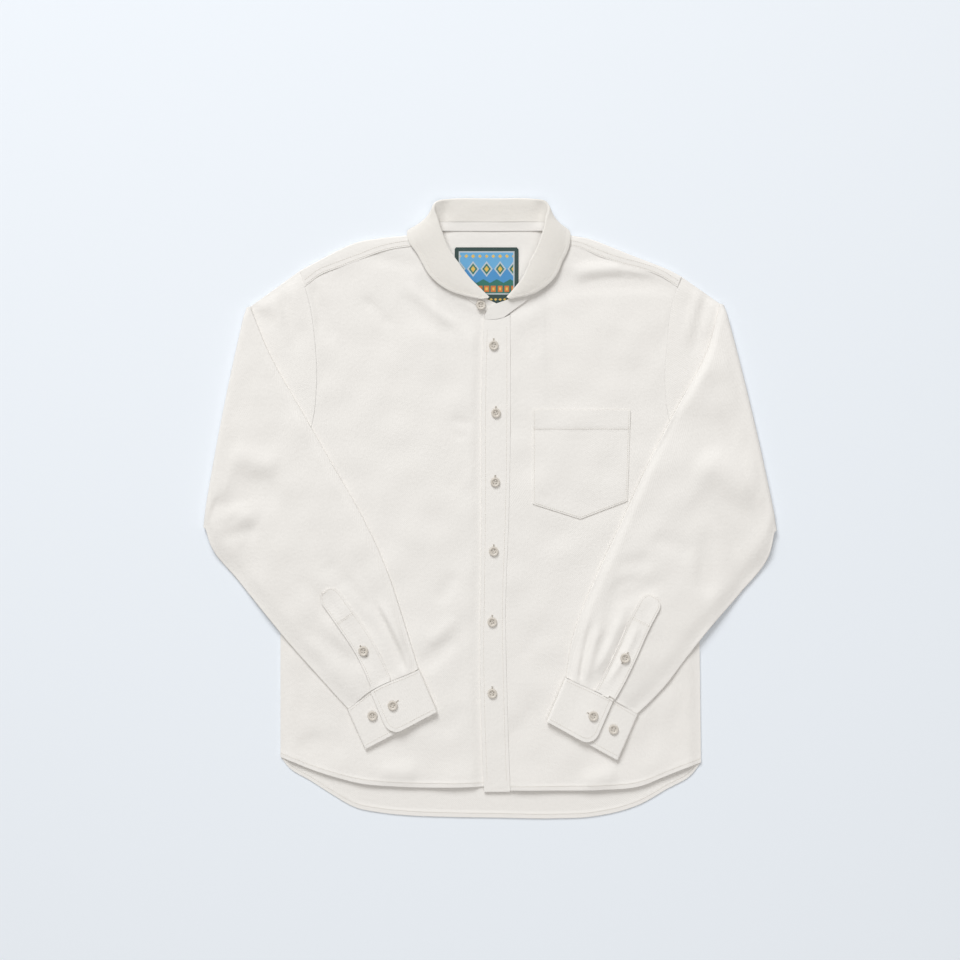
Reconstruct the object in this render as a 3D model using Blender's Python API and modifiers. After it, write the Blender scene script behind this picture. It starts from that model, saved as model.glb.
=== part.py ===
"""A flannel shirt laid flat on its back, buttoned, with both sleeves folded in over the front.

Sizes are in millimetres and become metres where a mesh is made. +Z is up, +Y runs towards
the collar and +X towards the wearer's left. Left and right are the wearer's. The origin is
on the surface that the shirt lies on, below the middle of its outline.
"""

import math
from collections import namedtuple

import bmesh
import bpy
import numpy as np
from mathutils import Vector
from mathutils.bvhtree import BVHTree

MM = 0.001

# Thickness of the cloths, and the air between them
FLANNEL = 1.2
DOUBLED = 2.0
LEAF_CLOTH = 1.6
LABEL_CLOTH = 1.0
SEAM = 0.4
LAYER = 0.4

# Heights of the layers of the body
FLAT_TOP = 2 * FLANNEL + LAYER
LOFT = 1.8
BODY_TOP = FLAT_TOP + LOFT
SHOULDER_ROUND = BODY_TOP / 2
SLEEVE_BED = BODY_TOP + 0.5
SLEEVE_DEPTH = 5.4

# Body, seen from above
SIDE_X = 276.0
NECK_GAP = 0.7
UNDERARM_Y = 38.0
YOKE_SEAM_Y = 270.0
SIDE_ROWS = 8
ARMHOLE_PLACES = (0, 1, 2, 3, 3.5, 4, 5, 5.5, 6, 6.5, 7)
ARMHOLE_AT_YOKE = 2
SEAM_STEPS = 9
YOKE_ROWS = (0.0, 0.4, 0.78, 0.9, 1.0)
YOKE_TURNS = (45.0, 90.0, 135.0, 180.0)
YOKE_STRIP_ROWS = (0.5, 1.0)
YOKE_TAPER = 0.947
NECK_RISE = 2.4
NECK_RISE_Y = 347.0
NECK_SIDE_X = 50.0
NECK_SIDE_RUN = 20.0
NECK_SIDE_DROP = 0.7
BACK_COLUMNS = 19

SIDE_SEAM = {
    "left": [(281, -338), (280, -255), (279, -175), (SIDE_X, UNDERARM_Y)],
    "right": [(-279, -331), (-279, -255), (-279, -175), (-SIDE_X, UNDERARM_Y)],
}
ARMHOLE = {
    "left": [
        (255, 309), (250.3, 296), (241.5, 270), (236, 225), (233, 158), (239, 115), (253, 75),
        (SIDE_X, UNDERARM_Y),
    ],
    "right": [
        (-253, 317), (-246.6, 296), (-239.6, 270), (-233, 225), (-231, 158), (-236, 115), (-251, 75),
        (-SIDE_X, UNDERARM_Y),
    ],
}
SHOULDER_FOLD = {
    "left": [
        (80.5, 369.4), (107, 364), (133, 359), (160, 349), (187, 338), (213, 328), (240, 317), (255, 309),
    ],
    "right": [
        (-72.5, 369.4), (-109, 364), (-147, 360), (-176, 355), (-200, 345), (-227, 331), (-253, 317),
    ],
}
FRONT_YOKE_SEAM = {
    "left": [
        (83.5, 348.6), (104, 349), (117, 347), (147, 335), (173, 326), (200, 319), (227, 309),
        (249.5, 294.6),
    ],
    "right": [
        (-75.2, 348), (-99, 349), (-120, 347), (-147, 341), (-173, 331), (-200, 321), (-227, 310),
        (-246.5, 295),
    ],
}
FRONT_HEM = {
    "left": [(281, -338), (258, -346), (233, -356), (200, -369), (147, -374), (80, -375), (27, -375)],
    "right": [
        (-279, -331), (-262, -337), (-240, -346), (-213, -355), (-180, -364), (-120, -370), (-53, -371),
        (24, -369),
    ],
}
BACK_HEM = [
    (-279, -331), (-268, -345), (-240, -362), (-207, -383), (-180, -398), (-147, -405), (-107, -409),
    (-53, -411), (13, -412), (80, -413), (140, -410), (200, -394), (235, -374), (268, -355), (281, -338),
]

# Placket, with the right front running on below it
PLACKET_LEFT_EDGE = [(27, 258), (27, 78), (25, -15), (21, -122), (23, -255), (27, -377)]
PLACKET_FREE_EDGE = [(-8, 252), (-11, 145), (-11, 11), (-12, -122), (-13, -189), (-12, -255), (-8, -377)]
UNDER_PLACKET_X = 20.0
DIP_START = -16.0
DIP_END = -2.5
DIP_COLUMNS = (-32.0, -22.0, -14.5, 4.0, 24.0)

Crease = namedtuple("Crease", "x0 y0 x1 y1 width height")

# Soft troughs and ridges that press or lift the fronts
FRONT_CREASES = [
    Crease(-160, 334, -90, 322, 9, -1.0),
    Crease(-168, 280, -130, 238, 7, -0.8),
    Crease(-222, 280, -214, 216, 9, -0.8),
    Crease(-70, 280, -15, 232, 13, -1.0),
    Crease(-92, -212, -44, -172, 10, -1.2),
    Crease(-84, -182, -44, -146, 10, 1.0),
    Crease(-70, -126, -44, -86, 9, -0.8),
    Crease(-255, -322, -224, -304, 10, -1.0),
    Crease(90, 295, 232, 305, 10, -1.2),
    Crease(105, 318, 178, 320, 9, 0.9),
    Crease(120, -365, 170, -352, 13, 1.6),
    Crease(-150, -352, -95, -350, 13, 1.2),
]

# Each sleeve folded over: where its over-arm fold and its under-arm seam lie, from the
# fold beside the body down to the cuff seam
Section = namedtuple("Section", "over_x over_y under_x under_y")
SLEEVE_SECTIONS = {
    "left": [
        Section(312, 274, 383.6, -31),
        Section(287, 205, 371, -63),
        Section(253, 142, 333, -113),
        Section(213, 65, 296, -155),
        Section(173, -22, 261, -199),
        Section(133, -109, 232, -237),
        Section(109, -175, 209, -261),
        Section(101, -225, 196, -273),
    ],
    "right": [
        Section(-325, 270, -383.4, -27),
        Section(-293, 205, -371, -50),
        Section(-253, 134, -336, -95),
        Section(-207, 54, -301, -138),
        Section(-171, -9, -264, -183),
        Section(-140, -75, -229, -222),
        Section(-115, -149, -203, -251),
        Section(-95, -214, -189, -266),
    ],
}
CUFF_EDGE = {"left": Section(76, -283, 169, -334), "right": Section(-71, -270, -165, -319)}
SLEEVE_CREASES = {
    "left": [
        Crease(262, 40, 350, 22, 20, -1.4),
        Crease(166, -76, 216, -68, 10, -1.2),
        Crease(160, -124, 226, -99, 9, -1.4),
        Crease(136, -140, 118, -236, 6, -1.7),
        Crease(148, -150, 128, -236, 6, 1.2),
        Crease(186, -138, 142, -232, 7, -1.5),
        Crease(198, -150, 156, -232, 6, 0.9),
        Crease(292, -16, 286, -112, 11, -1.0),
    ],
    "right": [
        Crease(-378, -12, -288, 44, 12, -1.6),
        Crease(-372, -22, -312, -8, 8, 1.2),
        Crease(-360, -38, -306, -26, 8, -1.3),
        Crease(-216, -70, -190, -106, 13, -1.2),
        Crease(-178, -66, -104, -226, 7, -1.7),
        Crease(-164, -70, -94, -222, 6, 1.1),
        Crease(-196, -112, -116, -206, 8, -0.8),
        Crease(-244, -160, -170, -212, 10, -1.1),
    ],
}
CAP_CREASES = {
    "left": [Crease(289, 282, 266, 194, 10, -1.2)],
    "right": [Crease(-277, 280, -252, 198, 10, -1.2)],
}
SLEEVE_GAP = 0.7
FOLD_BULGE = 3.0
FOLD_CLEAR = 0.25
FOLD_CORNER = 2.0
RING_STEPS = 11
SLEEVE_RINGS = (0.0, 0.5, 1.0, 1.6, 2.2, 2.9, 3.6, 4.2, 4.8, 5.3, 5.8, 6.4, 7.0)
DROOP_START = 16.0
DROOP_LENGTH = 45.0
DROOP_END = 1.0

# Cuffs and sleeve plackets
CUFF_LAP = {"left": 69.0, "right": 70.0}
CUFF_UNDERLAP = 44.0
LAP_RISE_X = 22.0
LAP_RISE_RUN = 20.0
CUFF_CORNER = 18.0
CUFF_STEPS = 6
CUFF_SEAM = 1.0
CUFF_SEAM_RISE = {"left": 2.0, "right": 6.0}
CUFF_RISE_FALL = 36.0
GAUNTLET_WIDTH = 28.0
GAUNTLET_CLOTH = 1.4
GAUNTLET_EDGE = {
    "left": [(162.7, -258), (176, -235), (192, -202), (213.3, -155), (224, -135)],
    "right": [(-157.3, -237), (-168, -212), (-180, -189), (-202.7, -155), (-222, -128)],
}
GAUNTLET_HEAD = 13.0
GAUNTLET_ROWS = 8

# Collar sections from the middle of the back to the end of the leaf, on the wearer's right.
# The neck seam, the roll and the leaf's edge lie on the middle of the cloth. `share` is how
# far up to the roll the band reaches, and `swing` the way that the leaf bellies: down
# behind the back, outwards at the shoulder and up over the front. `roll_in` and `edge_in`
# are how much nearer the middle the roll and the edge lie on the wearer's left.
Collar = namedtuple(
    "Collar", "neck_x neck_y neck_z roll_x roll_y roll_z edge_x edge_y edge_z share swing roll_in edge_in"
)
COLLAR_MIDDLE_X = 4.0
COLLAR_SKEW = 0.25
COLLAR_SKEW_Y = 329.0
COLLAR = [
    Collar(4, 369.4, 3.0, 4, 411.5, 4.4, 4, 373, 0.8, 0.28, -90, 0, 0),
    Collar(-46, 369.6, 3.0, -49, 411.3, 4.8, -47, 373, 0.8, 0.28, -90, 2, 0),
    Collar(-65, 369.3, 3.8, -69, 408, 8.0, -70, 374, 0.8, 0.30, -60, 4.5, 4),
    Collar(-70.5, 364.7, 6.0, -74, 399, 11.5, -89, 375, 0.8, 0.40, -15, 5.5, 9),
    Collar(-73, 356.7, 6.2, -69, 385, 12.8, -109, 369, 4.0, 0.55, 30, 4, 12),
    Collar(-74, 347.3, 5.6, -64.5, 370, 11.8, -107, 355, 6.8, 0.70, 60, 2, 9),
    Collar(-70.5, 335.3, 4.8, -54.5, 345, 10.4, -95, 336.5, 6.4, 0.85, 85, 1, 3),
    Collar(-61.3, 314, 4.6, -40, 323.5, 9.4, -79, 309, 6.3, 0.88, 90, -1.5, 5),
    Collar(-45.3, 292.7, 4.4, -26.7, 306, 8.6, -56, 291, 6.3, 0.88, 90, -2.5, 6),
    Collar(-29.3, 278, 4.2, -12.7, 292, 7.8, -33.5, 283, 6.9, 0.86, 90, -2, 3),
    Collar(-13.3, 268, 3.8, -1.3, 281, 7.0, -12, 278.5, 8.3, 0.80, 90, -1, 6),
]
COLLAR_STEPS = 2
LEAF_ROLL = 1.4
LEAF_BELLY = 1.2
LEAF_FULL = 34.0
LEAF_GAP = 1.3
Band = namedtuple("Band", "neck_x neck_y neck_z top_x top_y top_z")
BAND_RIGHT_END = [Band(-3, 261, 2.9, 8.5, 273, 4.2)]
BAND_LEFT_END = [
    Band(18, 255.5, 5.0, 6, 272, 7.6),
    Band(6, 253, 5.4, -3, 265.5, 7.4),
    Band(-6.5, 252.8, 5.8, -7.6, 256, 6.4),
]

# Pocket, label and buttons
POCKET_TOP = [(57, 131), (187, 131)]
POCKET_SIDE = [(183, 10), (187, 131)]
POCKET_FOOT = [(57, 6), (120, -14), (183, 10)]
POCKET_HEM_Y = 106.0
POCKET_HEM_RISE = 0.5
LABEL_LOW = (-48.0, 272.0)
LABEL_HIGH = (39.0, 349.0)
LABEL_STEPS = 4
BUTTON_R = 6.3
SLEEVE_BUTTON_R = 6.5
BUTTON_HEIGHT = 2.6
BUTTON_SIDES = 12
FRONT_BUTTONS = [(5, 217), (8, 127), (7, 35), (5, -57), (3, -151), (3, -246)]
BAND_BUTTON = (-12.0, 270.5)
GAUNTLET_BUTTON = {"left": (179, -198), "right": (-168, -189)}
LAP_BUTTON = {"left": (137, -275), "right": (-129, -261)}
SPARE_BUTTON = {"left": (164, -293), "right": (-156, -275)}

CREAM = (0.82, 0.79, 0.74, 1.0)
CREAM_DEEP = (0.80, 0.77, 0.71, 1.0)
LABEL_GREEN = (0.02, 0.07, 0.06, 1.0)
COROZO = (0.42, 0.36, 0.28, 1.0)


# Shapes in the plan


def smooth(t):
    """A soft step from 0 to 1."""
    t = np.clip(t, 0.0, 1.0)
    return t * t * (3.0 - 2.0 * t)


def curve(points, places):
    """Points of a smooth curve through the given ones. `places` is how many, spread evenly,
    or the places themselves, counted along the given points from 0."""
    points = np.array(points, float)
    knots = np.concatenate([[0.0], np.cumsum(np.linalg.norm(np.diff(points, axis=0), axis=1))])
    slopes = np.gradient(points, knots, axis=0)
    if np.isscalar(places):
        at = np.linspace(0.0, knots[-1], places)
    else:
        at = np.interp(places, np.arange(len(knots)), knots)
    k = np.clip(np.searchsorted(knots, at, side="right") - 1, 0, len(knots) - 2)
    span = (knots[k + 1] - knots[k])[:, None]
    t = (at - knots[k])[:, None] / span
    start, end = points[k], points[k + 1]
    leave, arrive = slopes[k] * span, slopes[k + 1] * span
    return (
        (2 * t**3 - 3 * t**2 + 1) * start
        + (t**3 - 2 * t**2 + t) * leave
        + (3 * t**2 - 2 * t**3) * end
        + (t**3 - t**2) * arrive
    )


def unit(vectors):
    return vectors / np.linalg.norm(vectors, axis=-1)[..., None]


def patch(bottom, right, top, left):
    """A grid of plan points between four edges, its rows running from the bottom one to the top."""
    u = np.linspace(0.0, 1.0, len(bottom))[None, :, None]
    v = np.linspace(0.0, 1.0, len(left))[:, None, None]
    corners = (1 - v) * ((1 - u) * bottom[0] + u * bottom[-1]) + v * ((1 - u) * top[0] + u * top[-1])
    return (1 - v) * bottom[None] + v * top[None] + (1 - u) * left[:, None] + u * right[:, None] - corners


def relief(creases, x, y):
    """How far the creases lift or press the cloth at points of the plan."""
    total = np.zeros_like(x)
    for crease in creases:
        run_x, run_y = crease.x1 - crease.x0, crease.y1 - crease.y0
        along = ((x - crease.x0) * run_x + (y - crease.y0) * run_y) / (run_x**2 + run_y**2)
        nearest = np.clip(along, 0.0, 1.0)
        off = (x - crease.x0 - nearest * run_x) ** 2 + (y - crease.y0 - nearest * run_y) ** 2
        fade = smooth(np.minimum(nearest, 1.0 - nearest) * 3.0 + 0.25)
        total += crease.height * fade * np.exp(-off / crease.width**2)
    return total


def distance_to(x, y, start, end):
    """How far plan points are from a straight line between two others."""
    run = np.array(end, float) - np.array(start, float)
    along = np.clip(((x - start[0]) * run[0] + (y - start[1]) * run[1]) / (run @ run), 0.0, 1.0)
    return np.hypot(x - start[0] - along * run[0], y - start[1] - along * run[1])


# Making solids


def material(name, colour, roughness):
    made = bpy.data.materials.new(name)
    made.use_nodes = True
    shader = made.node_tree.nodes["Principled BSDF"]
    shader.inputs["Base Color"].default_value = colour
    shader.inputs["Roughness"].default_value = roughness
    return made


def add_object(name, mesh, finish):
    made = bpy.data.meshes.new(name)
    mesh.to_mesh(made)
    mesh.free()
    made.materials.append(finish)
    made.shade_smooth()
    made.set_sharp_from_angle(angle=math.radians(40))
    piece = bpy.data.objects.new(name, made)
    bpy.data.collections["flannel_shirt"].objects.link(piece)
    return piece


def wall(name, grid, thickness, finish, middle=False, closed=False, flip=False, keep=None):
    """A piece of cloth: a grid of points in millimetres on its outer side, or on its middle,
    thickened by Solidify. The last column of a closed grid meets its first. `keep` tells
    which cells of the grid are cloth."""
    rows, columns = grid.shape[:2]
    mesh = bmesh.new()
    verts = [[mesh.verts.new(Vector(point) * MM) for point in row] for row in grid]
    for row in range(rows - 1):
        for column in range(columns if closed else columns - 1):
            if keep is None or keep(row, column):
                after = (column + 1) % columns
                below, above = verts[row], verts[row + 1]
                corners = [below[column], below[after], above[after], above[column]]
                mesh.faces.new(corners[::-1] if flip else corners)
    bmesh.ops.delete(mesh, geom=[vert for vert in mesh.verts if not vert.link_faces], context="VERTS")
    piece = add_object(name, mesh, finish)
    shell = piece.modifiers.new("cloth", "SOLIDIFY")
    shell.thickness = thickness * MM
    shell.offset = 0.0 if middle else -1.0
    shell.use_even_offset = True
    shell.use_quality_normals = True
    piece.modifiers.new("shading", "WEIGHTED_NORMAL")
    return piece


def upper_side(piece):
    """A function that gives the height of a piece's upper side at points of the plan."""
    tree = BVHTree.FromObject(piece, bpy.context.evaluated_depsgraph_get())

    def height(x, y):
        found = tree.ray_cast(Vector((x * MM, y * MM, 1.0)), Vector((0.0, 0.0, -1.0)))[0]
        if found is None:
            found = tree.find_nearest(Vector((x * MM, y * MM, BODY_TOP * MM)))[0]
        return found.z / MM

    return np.vectorize(height)


def with_height(plan, height):
    return np.concatenate([plan, np.broadcast_to(height, plan.shape[:2])[..., None]], axis=2)


# The body


def armhole(side):
    """The armhole seam, from the shoulder fold down to the underarm."""
    return curve(ARMHOLE[side], ARMHOLE_PLACES)


def collar_half():
    """Collar sections from the middle of the back round the wearer's right, spread finer."""
    return curve(COLLAR, np.linspace(0, len(COLLAR) - 1, (len(COLLAR) - 1) * COLLAR_STEPS + 1))


def neck_rail(first, last, outward):
    """The neck seam on the wearer's right between two collar sections, moved outwards."""
    end = [(row.neck_x, row.neck_y) for row in BAND_RIGHT_END]
    rail = np.concatenate([collar_half()[:, :2], end])
    run = unit(np.gradient(rail, axis=0))
    moved = rail + outward * np.stack([run[:, 1], -run[:, 0]], axis=1)
    return moved[first * COLLAR_STEPS : last * COLLAR_STEPS + 1]


def mirrored(points, inward=0.0):
    """Collar points moved to the wearer's left, where the open neck leans a little wider.
    Points may also be moved towards the middle."""
    points = np.array(points, float)
    skew = COLLAR_SKEW * np.maximum(0.0, COLLAR_SKEW_Y - points[..., 1])
    points[..., 0] = 2 * COLLAR_MIDDLE_X - points[..., 0] + skew - inward
    return points


def front_height(plan, side):
    """Height of a front's upper side: level with the sleeves and the yoke, thin along the
    side seam and the hem, and pressed flat below the placket."""
    x, y = plan[..., 0], plan[..., 1]
    from_hem = np.linspace(0.0, 1.0, plan.shape[0])[:, None]
    below_arm = smooth((UNDERARM_Y + 30.0 - y) / 40.0)
    side_fall = smooth((np.abs(x) - (SIDE_X - 14.0)) / 16.0) * below_arm
    hem_fall = 0.6 * smooth(1.0 - from_hem / 0.08)
    loft = LOFT * (1.0 - side_fall) * (1.0 - hem_fall)
    if side == "right":
        free_edge = np.array(PLACKET_FREE_EDGE[::-1], float)
        beside = x - np.interp(y, free_edge[:, 1], free_edge[:, 0])
        loft = loft * (1.0 - smooth((beside - DIP_START) / (DIP_END - DIP_START)))
    crease = relief(FRONT_CREASES, x, y) * smooth(loft / LOFT)
    return FLAT_TOP + loft + crease


def front_side_edge(side):
    """Side seam and armhole in one run, from the hem up to the yoke seam."""
    seam = curve(SIDE_SEAM[side], SIDE_ROWS)
    hole = armhole(side)[: ARMHOLE_AT_YOKE - 1 : -1][1:]
    corner = np.array([FRONT_YOKE_SEAM[side][-1]], float) - (0.0, SEAM)
    return np.concatenate([seam, hole, corner])


def build_front(side, finish):
    edge = front_side_edge(side)
    seam = curve(FRONT_YOKE_SEAM[side], SEAM_STEPS)[::-1] - (0.0, SEAM)
    if side == "right":
        neck = neck_rail(5, len(COLLAR), NECK_GAP)
        top = np.concatenate([seam[:-1], neck, [(UNDER_PLACKET_X, 257.0)]])
        centre = curve([FRONT_HEM[side][-1], (UNDER_PLACKET_X, -15), (UNDER_PLACKET_X, 257)], len(edge))
    else:
        neck = mirrored(neck_rail(5, len(COLLAR) - 1, NECK_GAP))
        top_corner = (PLACKET_LEFT_EDGE[0][0] + SEAM, PLACKET_LEFT_EDGE[0][1] + 2.0)
        top = np.concatenate([seam[:-1], neck, [top_corner]])
        down = [(x + SEAM, y) for x, y in PLACKET_LEFT_EDGE[::-1]]
        down[0], down[-1] = (down[0][0], FRONT_HEM[side][-1][1]), top_corner
        centre = curve(down, len(edge))
    bottom = curve(FRONT_HEM[side], len(top))
    if side == "right":
        count = len(top) - len(DIP_COLUMNS)
        even = np.linspace(FRONT_HEM[side][0][0], DIP_COLUMNS[0], count, endpoint=False)
        hem_x = np.append(even, DIP_COLUMNS)
        bottom = np.column_stack([hem_x, np.interp(hem_x, bottom[:, 0], bottom[:, 1])])
    bottom[-1] = centre[0]
    plan = patch(bottom, centre, top, edge)
    grid = with_height(plan, front_height(plan, side))
    return wall("front_" + side, grid, FLANNEL, finish, flip=side == "left")


def build_back(finish):
    """The back lies flat on the surface, from the yoke's back seam to the hem."""
    edges = []
    for side in ("right", "left"):
        hole = armhole(side)[: ARMHOLE_AT_YOKE - 1 : -1]
        edge = np.concatenate([curve(SIDE_SEAM[side], SIDE_ROWS), hole[1:]])
        edges.append(edge - np.outer(np.arange(len(edge)) == len(edge) - 1, (0.0, SEAM)))
    left, right = edges
    top = np.linspace(left[-1], right[-1], BACK_COLUMNS)
    plan = patch(curve(BACK_HEM, len(top)), right, top, left)
    return wall("back", with_height(plan, FLANNEL), FLANNEL, finish)


def build_yoke(finish):
    """The yoke runs up the back, round the shoulder folds and down to the front seams. Between
    the shoulders it stops at the neck seam, and its edge there rises to the collar band."""
    r = SHOULDER_ROUND

    def shoulder_columns(side):
        columns = []
        folds, ends = curve(SHOULDER_FOLD[side], SEAM_STEPS), curve(FRONT_YOKE_SEAM[side], SEAM_STEPS)
        for fold, end in zip(folds, ends):
            base = np.array([fold[0] * YOKE_TAPER, YOKE_SEAM_Y])
            flat = fold + (base - fold) * r / (fold[1] - base[1])
            strip = fold + (end - fold) * r / (fold[1] - end[1])
            rows = [np.append(base + (flat - base) * t, 0.0) for t in YOKE_ROWS]
            for turn in np.radians(YOKE_TURNS):
                start = flat if turn < math.pi / 2 else strip
                rows.append(np.append(start + (fold - start) * math.sin(turn), r - r * math.cos(turn)))
            rows += [np.append(strip + (end - strip) * t, 2 * r) for t in YOKE_STRIP_ROWS]
            columns.append(rows)
        return columns

    def neck_column(seam):
        base = np.array([seam[0] * YOKE_TAPER, YOKE_SEAM_Y])
        from_middle = abs(seam[0] - COLLAR_MIDDLE_X)
        rise = NECK_RISE * (1.0 - NECK_SIDE_DROP * smooth((from_middle - NECK_SIDE_X) / NECK_SIDE_RUN))
        run = seam[1] - NECK_RISE_Y
        plan = [base + (seam - base) * t for t in YOKE_ROWS]
        rows = [np.append(point, rise * smooth((point[1] - NECK_RISE_Y) / run)) for point in plan]
        return rows + rows[-1:] * (len(YOKE_TURNS) + len(YOKE_STRIP_ROWS))

    half = neck_rail(0, 2, -NECK_GAP)
    neck = [neck_column(seam) for seam in np.concatenate([half[::-1], mirrored(half)[1:]])]
    grid = np.array(shoulder_columns("right")[::-1] + neck + shoulder_columns("left")).transpose(1, 0, 2)

    def keep(row, column):
        on_neck = SEAM_STEPS - 1 <= column < SEAM_STEPS + len(neck)
        return row < len(YOKE_ROWS) - 1 or not on_neck

    return wall("yoke", grid, FLANNEL, finish, flip=True, keep=keep)


def build_placket(finish):
    free = curve(PLACKET_FREE_EDGE[::-1], 17)
    seam = curve(PLACKET_LEFT_EDGE[::-1], 17)
    neck = [(row.neck_x, row.neck_y - 1.6) for row in BAND_LEFT_END[::-1]] + [tuple(seam[-1])]
    top = curve([free[-1]] + neck[1:], 5)
    bottom = np.linspace(free[0], seam[0], 5)
    plan = patch(bottom, seam, top, free)
    return wall("placket", with_height(plan, FLAT_TOP + LAYER + DOUBLED), DOUBLED, finish)


# The collar


def collar_stations():
    """Points of the collar's sections right round, from the wearer's right to the left: neck
    seam, roll, leaf's edge, the band's top, and the way that the leaf swings over."""
    right = collar_half()
    left = right.copy()
    for first, inward in ((0, 0.0), (3, right[:, 11]), (6, right[:, 12])):
        left[:, first : first + 3] = mirrored(right[:, first : first + 3], inward)
    whole = np.concatenate([right[::-1], left[1:]])
    neck, roll, edge = whole[:, 0:3], whole[:, 3:6], whole[:, 6:9]
    share, swing = whole[:, 9:10], np.radians(whole[:, 10:11])
    outward = edge - roll
    outward[:, 2] = 0.0
    lift = unit(outward) * np.cos(swing) + np.array([0.0, 0.0, 1.0]) * np.sin(swing)
    rise = unit(roll - neck)
    lift = unit(lift - rise * np.sum(lift * rise, axis=1, keepdims=True))
    return neck, roll, edge, neck + (roll - neck) * share, rise, lift


def build_leaf(stations, finish):
    """Leaf of the collar: up from the band, round the roll and out to its edge."""
    neck, roll, edge, top, rise, lift = stations
    turns = np.radians([0.0, 45.0, 90.0, 135.0, 180.0])
    middle = roll + LEAF_ROLL * (lift - rise)
    rows = [top + LEAF_GAP * rise]
    for turn in turns:
        rows.append(middle + LEAF_ROLL * (rise * math.sin(turn) - lift * math.cos(turn)))
    for t in (0.35, 0.7, 1.0):
        reach = np.linalg.norm(edge - rows[5], axis=1, keepdims=True)
        belly = LEAF_BELLY * 4 * t * (1 - t) * reach / LEAF_FULL
        rows.append(rows[5] + (edge - rows[5]) * t + lift * belly)
    grid = np.array(rows).transpose(1, 0, 2)
    grid[..., 2] = np.maximum(grid[..., 2], LEAF_CLOTH / 2)
    return wall("collar_leaf", grid, LEAF_CLOTH, finish, middle=True)


def build_band(stations, finish):
    neck, _, _, top, _, _ = stations
    first, last = np.array(BAND_RIGHT_END, float), np.array(BAND_LEFT_END, float)
    neck = np.concatenate([first[:, :3], neck, last[:, :3]])
    top = np.concatenate([first[:, 3:], top, last[:, 3:]])
    grid = np.array([np.linspace(a, b, 4) for a, b in zip(neck, top)])
    return wall("collar_band", grid, DOUBLED, finish, middle=True)


# The sleeves


def bed_height(x, y, side):
    """How high a folded sleeve lies: on the body and its own upper arm, or drooping to the
    surface where neither is below it."""
    sign = 1.0 if side == "left" else -1.0
    hem_corner, _, _, underarm = SIDE_SEAM[side]
    elbow = SLEEVE_SECTIONS[side][0]
    elbow = (elbow.under_x, elbow.under_y)
    off = np.minimum(distance_to(x, y, hem_corner, underarm), distance_to(x, y, underarm, elbow))
    side_x = np.interp(y, [hem_corner[1], underarm[1]], [abs(hem_corner[0]), abs(underarm[0])])
    beyond_side = sign * x > side_x
    edge_y = np.interp(sign * x, [abs(underarm[0]), abs(elbow[0])], [underarm[1], elbow[1]])
    outside = beyond_side & (y < edge_y)
    fall = smooth((off - DROOP_START) / DROOP_LENGTH) * outside
    return SLEEVE_BED + (DROOP_END - SLEEVE_BED) * fall


def ring(width, depth):
    """Outline of a flattened tube: distance from its over-arm fold, and height off its middle."""
    r = depth / 2
    across = np.linspace(r, width - r, RING_STEPS)
    turn = np.radians([45.0, 90.0, 135.0])
    distance = np.concatenate([across, width - r + r * np.sin(turn), across[::-1], r - r * np.sin(turn)])
    height = np.concatenate([
        np.full(RING_STEPS, r), r * np.cos(turn), np.full(RING_STEPS, -r), -r * np.cos(turn),
    ])
    return distance, height


def ring_plan(start, end, distance):
    """Plan points of a ring between two ends. `start` and `end` may be one point or a curve."""
    width = np.linalg.norm(end - start)
    return start + (end - start) * (distance / width)[:, None]


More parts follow.
